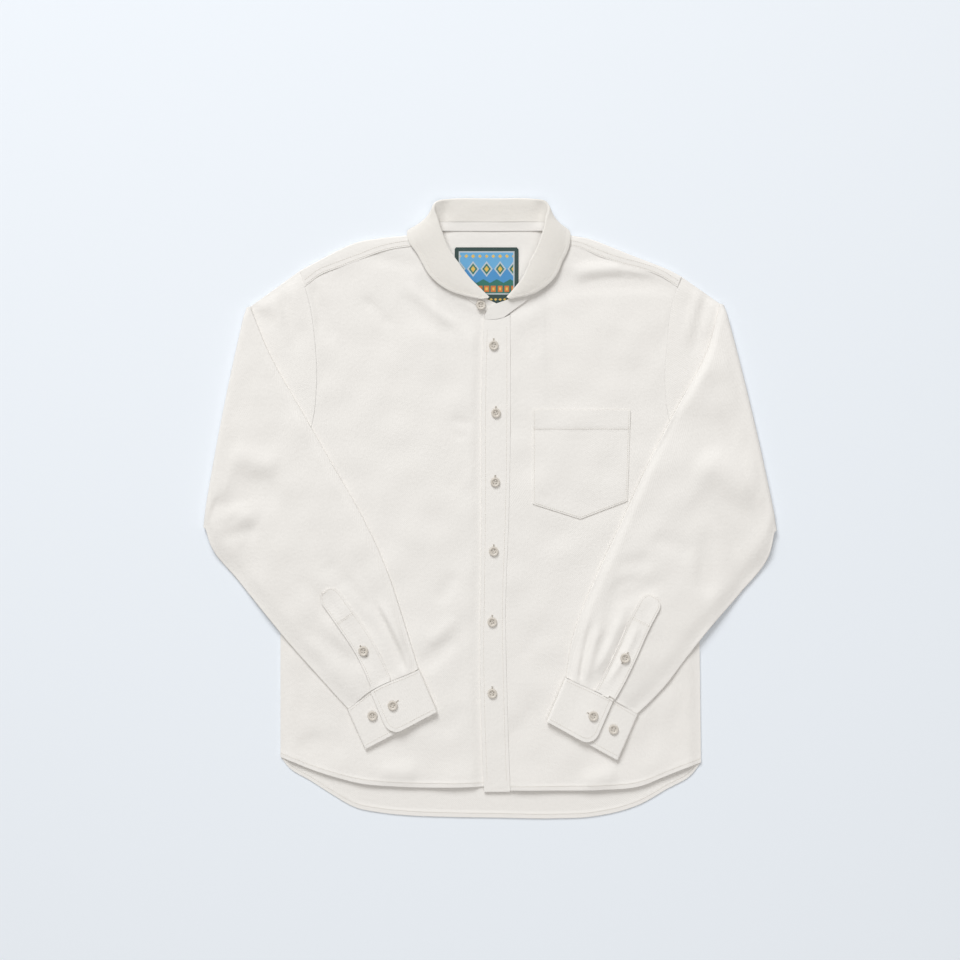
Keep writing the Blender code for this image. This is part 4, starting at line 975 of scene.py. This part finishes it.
right_end, left_end = np.array([BAND_RIGHT_END], float), np.array(BAND_LEFT_END, float)
band_sides = []
for low, part in ((neck, slice(0, 3)), (band_top, slice(3, 6))):
    lap = along(np.concatenate([low[-1:], left_end[:, part]]), np.linspace(0.1, 1.0, 12))
    band_sides.append(np.concatenate([right_end[:, part], low, lap]))
band_grid = np.array([np.linspace(a, b, 9) for a, b in zip(*band_sides)])
band_grid[..., 2] += stand_waves(band_grid[..., 0], band_grid[..., 1])
band = cloth("collar_band_cloth", band_grid, DOUBLED, body_flannel, "collar_band",
             middle=True)

# The sleeves
# Tubes of flannel set into the armholes and folded flat: each lies out beside the shoulder,
# folds over and comes back across the front, its back side up, and is pleated into its cuff.
SLEEVE_BED = BODY_TOP + 0.5
SLEEVE_DEPTH = 5.4
SLEEVE_GAP = 0.06
SLEEVE_STEPS = 56
EDGE_FOLD = 1.5
OVER_FALL = 13.0
UNDER_FALL = 26.0
EDGE_STEPS = np.array([0.0, 1.6, 3.4, 5.4])
FOLD_CLEAR = 0.25
SLEEVE_RUMPLE = 0.85
FOLD_FREE = 8.0
GATHER = 0.5
SLEEVE_CLEAR = 2.6
CAP_CLEAR = 1.8
FOLD_BULGE = 3.0
FOLD_CORNER = 2.0
DROOP_START = 16.0
DROOP_LENGTH = 45.0
DROOP_END = 1.0
CUFF_SEAM = 0.12
CUFF_SEAM_RISE = {"left": 2.0, "right": 6.0}
CUFF_LAP = {"left": 69.0, "right": 70.0}
CUFF_RISE_FALL = 36.0
SIGN = {"left": 1.0, "right": -1.0}
HALF_TURN = np.radians(np.arange(22.5, 158.0, 22.5))

# The ends of each section, from the fold beside the shoulder down to the cuff's seam, with the
# cuff's edge last: x and y on the over-arm fold, x and y on the under-arm fold
SLEEVE_SECTIONS = {
    "left": [
        (312, 274, 383.6, -31), (287, 205, 371, -63), (253, 142, 333, -113), (213, 65, 296, -155),
        (173, -22, 261, -199), (133, -109, 232, -237), (109, -175, 209, -261), (101, -225, 196, -273),
        (76, -283, 169, -334),
    ],
    "right": [
        (-325, 270, -383.4, -27), (-293, 205, -371, -50), (-253, 134, -336, -95), (-207, 54, -301, -138),
        (-171, -9, -264, -183), (-140, -75, -229, -222), (-115, -149, -203, -251), (-95, -214, -189, -266),
        (-71, -270, -165, -319),
    ],
}
OVER = {side: np.array(rows, float)[:, :2] for side, rows in SLEEVE_SECTIONS.items()}
UNDER = {side: np.array(rows, float)[:, 2:] for side, rows in SLEEVE_SECTIONS.items()}
SLEEVE_CREASES = {
    "left": [
        (266, 12, 360, -38, 24, -3.2, 6), (272, 60, 356, 22, 22, 3.8, 4),
        (300, -30, 286, -120, 13, -2.4, -4),
        (215, 216, 338, 178, 26, 3.4), (205, 114, 334, 88, 24, -2.4), (214, -40, 268, -62, 10, -1.6, 4),
        (135, -150, 118, -236, 3.5, -2.8, -2, -0.4), (146, -156, 128, -230, 6, 2.4, -2),
        (187, -144, 147, -232, 4.5, -2.8, 3, -0.4), (176, -138, 138, -220, 6, 2.4, 3),
        (198, -150, 158, -228, 5, 1.8, 3), (168, -100, 150, -190, 9, -1.8),
        (160, -112, 200, -97, 7, -1.8, 4),
        (266, 110, 330, 96, 16, -1.6), (166, -76, 216, -68, 10, -2.0), (160, -124, 226, -99, 9, -2.4),
        (292, -16, 286, -112, 11, -1.7),
    ],
    "right": [
        (-376, 5, -314, 18, 5, -2.4, -3, 0.4), (-374, -4, -322, 6, 5, 1.6, -2),
        (-370, -20, -332, -10, 5, -2.2, -2, 0.4),
        (-350, 34, -278, 12, 16, -2.4, 4), (-346, 72, -280, 54, 15, 2.6), (-195, -88, -158, -136, 8, -1.8),
        (-262, -90, -206, -150, 12, -1.4, 6), (-300, 180, -262, 120, 16, -1.2, 5),
        (-378, -12, -288, 44, 12, -2.7),
        (-372, -22, -312, -8, 8, 2.0), (-360, -38, -306, -26, 8, -2.2), (-216, -70, -190, -106, 13, -2.0),
        (-157, -120, -108, -226, 4, -2.8, 3, 0.5), (-149, -122, -99, -222, 5, 2.6, 3),
        (-232, -136, -150, -246, 9, 0.9, 4), (-178, -66, -120, -200, 7, -1.5),
        (-196, -112, -116, -206, 8, -1.4),
        (-244, -160, -170, -212, 10, -1.9),
    ],
}
CAP_CREASES = {
    "left": [
        (289, 284, 268, 200, 6, -2.2), (280, 292, 258, 214, 6, 2.2), (300, 280, 282, 226, 6, 1.8),
        (306, 262, 340, 190, 10, 1.4),
    ],
    "right": [
        (-278, 286, -258, 206, 6, -2.2), (-288, 288, -266, 214, 6, 2.2), (-322, 266, -284, 244, 10, -2.2),
        (-326, 280, -292, 262, 7, 1.6), (-264, 296, -248, 236, 6, 1.8),
    ],
}


def bed_height(x, y, side):
    """How high a folded sleeve lies: on the body and its own upper arm, or drooping to the
    surface where neither is below it."""
    sign, elbow = SIGN[side], UNDER[side][0]
    hem_corner, _, _, underarm = SIDE_SEAM[side]
    off = away_from(x, y, [hem_corner, underarm, elbow])
    side_x = np.interp(y, [hem_corner[1], underarm[1]], [abs(hem_corner[0]), abs(underarm[0])])
    beyond_side = sign * x > side_x
    edge_y = np.interp(sign * x, [abs(underarm[0]), abs(elbow[0])], [underarm[1], elbow[1]])
    fall = smooth((off - DROOP_START) / DROOP_LENGTH) * (beyond_side & (y < edge_y))
    return SLEEVE_BED + (DROOP_END - SLEEVE_BED) * fall


def ring(width, depth, turned):
    """Outline of a flattened tube: distance from its over-arm fold, and height off its middle.
    The layer that lies on top, the second one once the sleeve has turned over, falls to thin
    folded edges at both sides."""
    edge = min(EDGE_FOLD, depth / 2)
    fall = depth - 2 * edge
    inner = np.linspace(edge + 9.0, width - edge - 9.0, SLEEVE_STEPS - 8)
    across = np.concatenate([edge + EDGE_STEPS, inner, width - edge - EDGE_STEPS[::-1]])
    full = smooth((across - edge) / OVER_FALL) * smooth((width - across - edge) / UNDER_FALL)
    falling = fall * (1.0 - full)
    middle = fall * (turned - 0.5)
    sine, cosine = edge * np.sin(HALF_TURN), edge * np.cos(HALF_TURN)
    first = depth / 2 - falling * (1.0 - turned)
    second = (-depth / 2 + falling * turned)[::-1]
    return (
        np.concatenate([across, width - edge + sine, across[::-1], edge - sine]),
        np.concatenate([first, middle + cosine, second, middle - cosine]),
    )


def up_sleeve(side):
    """The way up a sleeve from its cuff."""
    return unit(OVER[side][-2] - OVER[side][-1])


def cuff_rise(side, x):
    """How the upper layer's seam to the cuff bows up the sleeve, at distances from the
    over-arm fold."""
    rise = CUFF_SEAM_RISE[side] * smooth(x / 60.0) * (1.0 - smooth((x - CUFF_LAP[side]) / CUFF_RISE_FALL))
    return rise[:, None] * up_sleeve(side)


def press(creases, plan, seed, most):
    """Creases and unevenness of a sleeve, shallow enough for what lies below."""
    return shallow(relief(creases, *plan.T) + SLEEVE_RUMPLE * rumple(*plan.T, seed), most)


def sleeve_rings(side):
    """Rings of a sleeve's tube from the armhole to the cuff's seam."""
    over, under = OVER[side][:-1].copy(), UNDER[side][:-1].copy()
    fold_run = unit(under[0] - over[0])
    outward = np.array([-fold_run[1], fold_run[0]]) * SIGN[side]
    over[0] -= outward * (SLEEVE_DEPTH + FOLD_CLEAR)
    under[0] -= outward * (SLEEVE_DEPTH + FOLD_CLEAR)
    fold_width = np.linalg.norm(under[0] - over[0])
    hole = curve(ARMHOLE[side], 90)
    hole_width = np.linalg.norm(hole[-1] - hole[0])
    rings = []

    # From the armhole out to the fold, flat on the paper
    for t in np.concatenate([[0.0, 0.01, 0.03], np.linspace(0.08, 1.0, 15)]):
        width = fold_width * t + hole_width * (1 - t)
        distance, height = ring(width, BODY_TOP, 0.0)
        share = distance / width
        start = along(hole, share) + (SIGN[side] * SLEEVE_GAP, 0.0)
        plan = start + (over[0] + (under[0] - over[0]) * share[:, None] - start) * t
        plan += outward * (FOLD_BULGE * 4 * share * (1 - share) * t)[:, None]
        lift = press(CAP_CREASES[side], plan, 31, CAP_CLEAR) * (height > 0) * smooth(t * 8)
        rings.append(np.column_stack([plan, height + BODY_TOP / 2 + lift]))

    # Round the fold
    for turn in HALF_TURN:
        depth = BODY_TOP + (SLEEVE_DEPTH - BODY_TOP) * turn / math.pi
        distance, height = ring(fold_width, depth, turn / math.pi)
        share = distance / fold_width
        radial = depth / 2 + FOLD_CLEAR - height
        corner = FOLD_CORNER * math.sin(turn)
        at = (corner + share * (fold_width - 2 * corner)) / fold_width
        plan = over[0] + (under[0] - over[0]) * at[:, None]
        plan += outward * (FOLD_BULGE * 4 * share * (1 - share) + radial * math.sin(turn))[:, None]
        rings.append(np.column_stack([plan, BODY_TOP + FOLD_CLEAR - radial * math.cos(turn)]))

    # Back over the front, down to the cuff
    places = np.concatenate([np.linspace(0.0, 6.9, 112), [6.94, 6.97, 7.0]])
    overs, unders = curve(over, places), curve(under, places)
    overs[-1] += up_sleeve(side) * CUFF_SEAM
    unders[-1] += up_sleeve(side) * CUFF_SEAM
    for place, start, end in zip(places, overs, unders):
        width = np.linalg.norm(end - start)
        distance, height = ring(width, SLEEVE_DEPTH, 1.0)
        share = distance / width
        plan = start + (end - start) * share[:, None]
        plan += outward * (FOLD_BULGE * 4 * share * (1 - share) * max(0.0, 1.0 - place))[:, None]
        raised = (SLEEVE_DEPTH / 2 - height) / SLEEVE_DEPTH
        from_fold = np.minimum(distance, width - distance)
        free = raised * smooth(place * 2) * smooth((from_fold - 1.0) / FOLD_FREE)
        lift = press(SLEEVE_CREASES[side], plan, 33, SLEEVE_CLEAR) * free
        near_cuff = smooth((place - 6.7) / 0.3)
        lift = lift * (1.0 - 0.8 * near_cuff) + GATHER * near_cuff * raised
        plan += cuff_rise(side, distance) * (near_cuff * (raised > 0.5))[:, None]
        rings.append(np.column_stack([plan, bed_height(*plan.T, side) + SLEEVE_DEPTH * raised + lift]))
    return np.array(rings)


sleeves = {}
for side in ("right", "left"):
    grid = sleeve_rings(side)
    piece = cloth("sleeve_cloth_" + side, grid, FLANNEL, body_flannel, "sleeve_" + side,
                  closed=True, flip=side == "right")
    sleeves[side] = piece

# The gauntlets
# The folded strip beside each sleeve's opening, with a rounded head, a box of stitches below it
# and one button.
GAUNTLET_WIDTH = 28.0
GAUNTLET_CLOTH = 1.4
GAUNTLET_HEAD = 13.0
GAUNTLET_STITCH = 2.4
GAUNTLET_LIFT = 1.2
GAUNTLET_BOX_ROW = {"left": 35, "right": 32}
GAUNTLET_EDGE = {
    "left": [(162.7, -258), (176, -235), (192, -202), (213.3, -155), (224, -135)],
    "right": [(-157.3, -237), (-168, -212), (-180, -189), (-202.7, -155), (-222, -128)],
}
gauntlets = {}
for side in ("right", "left"):
    edge = curve(GAUNTLET_EDGE[side], 44)
    run = unit(np.gradient(edge, axis=0))
    across = np.stack([-run[:, 1], run[:, 0]], axis=1) * SIGN[side]
    half_width = GAUNTLET_WIDTH / 2
    middle = edge + across * half_width
    head = np.append(np.linspace(0.1, 0.9, 9), [0.95, 0.985, 1.0])
    middle = np.concatenate([middle, middle[-1] + run[-1] * GAUNTLET_HEAD * head[:, None]])
    across = np.concatenate([across, np.repeat(across[-1:], len(head), axis=0)])
    widths = half_width * np.append(np.ones(len(edge)), np.sqrt(1.0 - (0.92 * head) ** 2))
    shares = spread(2.0, 0.14, (0.03, 0.1, 0.2)) * 2.0 - 1.0
    plan = np.array([middle + across * (widths * w)[:, None] for w in shares]).transpose(1, 0, 2)
    start = OVER[side][-2]
    x = CUFF_LAP[side] - (shares + 1.0) / 2.0 * (GAUNTLET_WIDTH + 1.0)
    plan[0] = start + unit(UNDER[side][-2] - start) * x[:, None] + cuff_rise(side, x)
    plan[0] += up_sleeve(side) * (CUFF_SEAM + 0.5)
    rim = (1.0 - np.abs(shares))[None, :] * half_width
    groove = 0.12 * smooth(1.0 - np.abs(rim - GAUNTLET_STITCH) / 1.6)
    lifted = GAUNTLET_LIFT * smooth(-shares)[None, :]
    bed = upper_side(sleeves[side])(plan[..., 0], plan[..., 1])
    grid = with_height(plan, bed + LAYER + GAUNTLET_CLOTH - groove + lifted)
    piece = cloth("gauntlet_strip_" + side, grid, GAUNTLET_CLOTH, body_flannel,
                  "gauntlet_" + side, flip=side == "left")
    inset = (half_width - GAUNTLET_STITCH) / half_width
    sides = [(middle + across * (widths * w)[:, None])[2:-3] for w in (-inset, inset)]
    box_row = GAUNTLET_BOX_ROW[side]
    box = np.array([middle[box_row] + across[box_row] * half_width * w for w in (-inset, inset)])
    lines = [np.concatenate([sides[0], sides[1][::-1]]), box, box + run[-1] * 2.0]
    stitches = sew("gauntlet_stitching_" + side, lines, upper_side(piece), thread_cream)
    gauntlets[side] = piece

# The cuffs
# Two layers of flannel sewn to the pleated sleeve. The lap, with a rounded corner, lies over
# the underlap. Each has a button, and the lap has a buttonhole as well.
CUFF_UNDERLAP = 44.0
CUFF_CORNER = 18.0
CUFF_STEPS = 26
CUFF_STITCH = 5.0
CUFF_TILT = 0.8
CUFF_SHARES = np.concatenate([[0.0, 0.012, 0.03], np.linspace(0.07, 1.0, CUFF_STEPS - 3)])


def cuff_path(width, lap):
    """Section of a lapped cuff, on the middle of its cloth: from the end of the lap, round
    the over-arm fold, below and up round the other fold to the end of the underlap."""
    low, between, high, top = DOUBLED / 2, 1.7 * DOUBLED, 2.5 * DOUBLED, 3.4 * DOUBLED
    wide, tight = (high - low) / 2, (between - low) / 2
    lap_x = lap + (wide - lap) * CUFF_SHARES
    lap_z = high + (top - high) * smooth((lap_x - 22.0) / 30.0)
    under_x = np.linspace(wide, width - tight, CUFF_STEPS)
    back_x = np.linspace(width - tight, CUFF_UNDERLAP, CUFF_STEPS)
    sine, cosine = np.sin(HALF_TURN), np.cos(HALF_TURN)
    level, level_back = np.full(CUFF_STEPS, low), np.full(CUFF_STEPS, between)
    return (
        np.concatenate([lap_x, wide - wide * sine, under_x, width - tight + tight * sine, back_x]),
        np.concatenate([lap_z, low + wide + wide * cosine, level, low + tight - tight * cosine, level_back]),
    )


def cuff_point(side, x, t):
    """A plan point of a cuff's upper layer, x from the over-arm fold and t down from the seam."""
    start = OVER[side][-2] * (1 - t) + OVER[side][-1] * t
    end = UNDER[side][-2] * (1 - t) + UNDER[side][-1] * t
    return start + unit(end - start) * x + (1 - t) * cuff_rise(side, np.array([x]))[0]


cuffs = {}
for side in ("right", "left"):
    over, under, lap_end = OVER[side][-2:], UNDER[side][-2:], CUFF_LAP[side]
    tall = np.linalg.norm(over[1] - over[0])
    upper = np.r_[0:CUFF_STEPS, -CUFF_STEPS:0]
    rows = []
    for t in np.concatenate([[0.0, 0.008, 0.03], np.linspace(0.06, 0.94, 24), [0.96, 0.975, 0.988, 1.0]]):
        start, end = over[0] + (over[1] - over[0]) * t, under[0] + (under[1] - under[0]) * t
        into_corner = max(0.0, t * tall - (tall - CUFF_CORNER))
        lap = lap_end - CUFF_CORNER + math.sqrt(CUFF_CORNER**2 - into_corner**2)
        x, z = cuff_path(np.linalg.norm(end - start), lap)
        plan = start + unit(end - start) * x[:, None]
        plan[upper] += (1.0 - t) * cuff_rise(side, x)[upper]
        rows.append(np.column_stack([plan, SLEEVE_BED + z + CUFF_TILT * smooth(t)]))
    grid = np.array(rows)
    piece = cloth("cuff_cloth_" + side, grid, DOUBLED, body_flannel, "cuff_" + side,
                  middle=True, flip=side == "left")
    radius, foot = CUFF_CORNER - CUFF_STITCH, 1.0 - CUFF_STITCH / tall
    width = np.linalg.norm(under[0] - over[0])
    corner = [
        (lap_end - CUFF_CORNER + radius * math.cos(a), 1.0 - (CUFF_CORNER - radius * math.sin(a)) / tall)
        for a in np.radians(np.arange(0.0, 91.0, 15.0))
    ]
    lines = [
        [(lap_end - CUFF_STITCH, 0.04), *corner, (3.0, foot)],
        [(x, 0.045) for x in np.linspace(3.0, lap_end - CUFF_STITCH, 12)],
        [(lap_end + 2.0, 0.05), (width - 4.0, 0.05)],
        [(lap_end - 6.0, foot), (width - 4.0, foot)],
    ]
    lines = [[cuff_point(side, *place) for place in line] for line in lines]
    stitches = sew("cuff_stitching_" + side, lines, upper_side(piece), thread_cream)
    cuffs[side] = piece

# The buttons
# Turned corozo buttons with a raised rim and four holes, each sewn on through crossed threads.
BUTTON_R = 6.3
SLEEVE_BUTTON_R = 6.5
BUTTON_HEIGHT = 2.6
BUTTON_SIDES = 48
HOLE_R = 0.85
HOLE_AT = 1.55
WELL = 0.52
FINE_THREAD = 0.42
THREAD_LANES = (-0.32, 0.0, 0.32)
BUTTON_PROFILE = [
    (0.0, WELL), (0.36, WELL), (0.46, 0.56), (0.54, 0.66), (0.62, 0.88), (0.7, 1.0), (0.82, 1.02),
    (0.93, 0.94),
    (0.985, 0.74), (1.0, 0.5), (0.97, 0.28), (0.88, 0.08), (0.76, 0.0), (0.0, 0.0),
]
BUTTON_FINISH = {"Roughness": 0.42, "Specular IOR Level": 0.5}
NEAR_MIDDLE = [(0, 0), (3.5, 3.5), (-3.5, 3.5), (3.5, -3.5), (-3.5, -3.5)]
corozo, corozo_tree, corozo_shader = material("turned_corozo", BUTTON_FINISH)
corozo_space = {"Vector": node(corozo_tree, "ShaderNodeTexCoord")["Object"], "Scale": (1.0, 0.3, 1.0)}
corozo_space["Rotation"] = (0.0, 0.0, 0.6)
corozo_place = node(corozo_tree, "ShaderNodeMapping", corozo_space)["Vector"]
corozo_lines = {"Vector": corozo_place, "Scale": 700.0, "Detail": 4.0, "Distortion": 0.6}
corozo_grain = node(corozo_tree, "ShaderNodeTexNoise", corozo_lines)["Fac"]
fill(corozo_shader, {
    "Base Color": tone(corozo_tree, corozo_grain, (0.5, 0.445, 0.385), (0.76, 0.715, 0.65)),
    "Normal": bump(corozo_tree, corozo_grain, 0.25, 0.0001),
})


def built(name, mesh):
    """An object from a mesh that was worked out in parts."""
    data = bpy.data.meshes.new(name)
    mesh.to_mesh(data)
    mesh.free()
    return add(name, data)


def turned_button(radius):
    """A button's mesh at the origin: a lathe profile with four holes drilled through it."""
    mesh = bmesh.new()
    verts = [mesh.verts.new((r * radius * MM, 0.0, h * BUTTON_HEIGHT * MM)) for r, h in BUTTON_PROFILE]
    edges = [mesh.edges.new(pair) for pair in zip(verts, verts[1:])]
    bmesh.ops.spin(mesh, geom=verts + edges, cent=(0, 0, 0), axis=(0, 0, 1), angle=2 * math.pi,
                   steps=BUTTON_SIDES, use_duplicate=False)
    bmesh.ops.remove_doubles(mesh, verts=mesh.verts, dist=1e-6)
    bmesh.ops.recalc_face_normals(mesh, faces=mesh.faces)
    blank = built("button", mesh)
    drill = bmesh.new()
    for dx, dy in ((1, 1), (1, -1), (-1, 1), (-1, -1)):
        bit = bmesh.ops.create_cone(drill, cap_ends=True, segments=14, radius1=HOLE_R * MM,
                                    radius2=HOLE_R * MM, depth=8 * MM)
        bmesh.ops.translate(drill, verts=bit["verts"], vec=(dx * HOLE_AT * MM, dy * HOLE_AT * MM, 0))
    drill = built("drill", drill)
    cut = blank.modifiers.new("holes", "BOOLEAN")
    cut.operation = "DIFFERENCE"
    cut.object = drill
    drilled = applied(blank)
    bpy.data.objects.remove(drill)
    drilled.materials.clear()
    drilled.materials.append(corozo)
    drilled.shade_smooth()
    drilled.set_sharp_from_angle(angle=math.radians(35))
    return drilled


def turned(x, y, angle):
    """Plan points turned about the origin."""
    return x * math.cos(angle) - y * math.sin(angle), x * math.sin(angle) + y * math.cos(angle)


def button_threads(x, y, z, turn):
    """Lines of thread that cross a button's middle through its holes."""
    t = np.linspace(-1.0, 1.0, 9)
    height = z + BUTTON_HEIGHT * WELL + 0.55 - 1.5 * t**6
    lines = []
    for side in (-1, 1):
        for lane in THREAD_LANES:
            across, up = turned(t * HOLE_AT, side * HOLE_AT + lane, turn)
            lines.append(np.column_stack([x + across, y + up, height]))
    return lines


def seat(name, centre):
    """The height of the cloth below a button, in metres."""
    side = name.rsplit("_", 1)[-1]
    holders = {"front": placket, "band": band, "gauntlet": gauntlets.get(side)}
    height = upper_side(holders.get(name.split("_")[1], cuffs.get(side)))
    highest = max(float(height(centre.x / MM + dx, centre.y / MM + dy)) for dx, dy in NEAR_MIDDLE)
    return (highest + 0.15) * MM


button_meshes = {"front": turned_button(BUTTON_R), "sleeve": turned_button(SLEEVE_BUTTON_R)}
thread_lines = []
button_names = [f"button_front_{k + 1}" for k in range(6)] + ["button_band"]
for side in ("right", "left"):
    button_names += [f"button_{kind}_{side}" for kind in ("gauntlet", "lap", "spare")]
dice = np.random.default_rng(8)
for name in button_names:
    centre = sum(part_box(name), Vector()) / 2
    bottom = seat(name, centre)
    turn = dice.uniform(-0.5, 0.5)
    mesh = button_meshes["front" if "front" in name or "band" in name else "sleeve"].copy()
    points = np.array([v.co for v in mesh.vertices])
    placed = np.column_stack([*turned(points[:, 0], points[:, 1], turn), points[:, 2]])
    mesh.vertices.foreach_set("co", (placed + (centre.x, centre.y, bottom)).ravel())
    belongs(add("corozo_" + name, mesh), name)
    thread_lines += button_threads(centre.x / MM, centre.y / MM, bottom / MM, turn)
sew("button_threads", thread_lines, None, thread_cream, pitch=0.45, length=0.8,
    thick=FINE_THREAD)

# The buttonholes
# Slits bound with close stitches: upright ones in the placket, and one in each cuff's lap and
# each gauntlet. Each slit is a dark strip of painted shade, for the shadow inside it, and is
# seen only where it runs out from under its button.
Buttonhole = namedtuple("Buttonhole", "button angle start end")
BUTTONHOLES = [Buttonhole(f"button_front_{k + 1}", 90, -5.0, 9.6) for k in range(6)] + [
    Buttonhole("button_lap_right", 42, -3.0, 10.4),
    Buttonhole("button_lap_left", 150, -3.0, 9.8),
    Buttonhole("button_gauntlet_right", 120, -9.0, 9.0),
    Buttonhole("button_gauntlet_left", 62, -9.0, 9.0),
]
HOLE_HALF = 0.85
SLIT_END = 0.6
# The slits' dark brown is painted shade: it stands for the shadow inside each slit.
slit_painted_shade = material("buttonhole_slit", {"Base Color": (0.2, 0.165, 0.13, 1.0), "Roughness": 0.9})[0]
bar_lines, slit_shade_lines = [], []
for hole in BUTTONHOLES:
    centre = np.array(sum(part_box(hole.button), Vector()))[:2] / 2 / MM
    run = np.array(turned(1.0, 0.0, math.radians(hole.angle)))
    across = np.array([-run[1], run[0]])
    ends = np.array([centre + run * hole.start, centre + run * hole.end])
    slit_shade_lines.append(ends + np.outer([SLIT_END, -SLIT_END], run))
    bar_lines += [ends + across * HOLE_HALF, ends - across * HOLE_HALF]
on_cloth = upper_side(placket, *gauntlets.values(), *cuffs.values())
sew("buttonhole_bars", bar_lines, on_cloth, thread_cream, pitch=0.5, length=1.3,
    thick=FINE_THREAD, slant=math.pi / 2)
sew("buttonhole_slits", slit_shade_lines, on_cloth, slit_painted_shade, pitch=0.8, length=1.5, sink=0.3)

low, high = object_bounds()
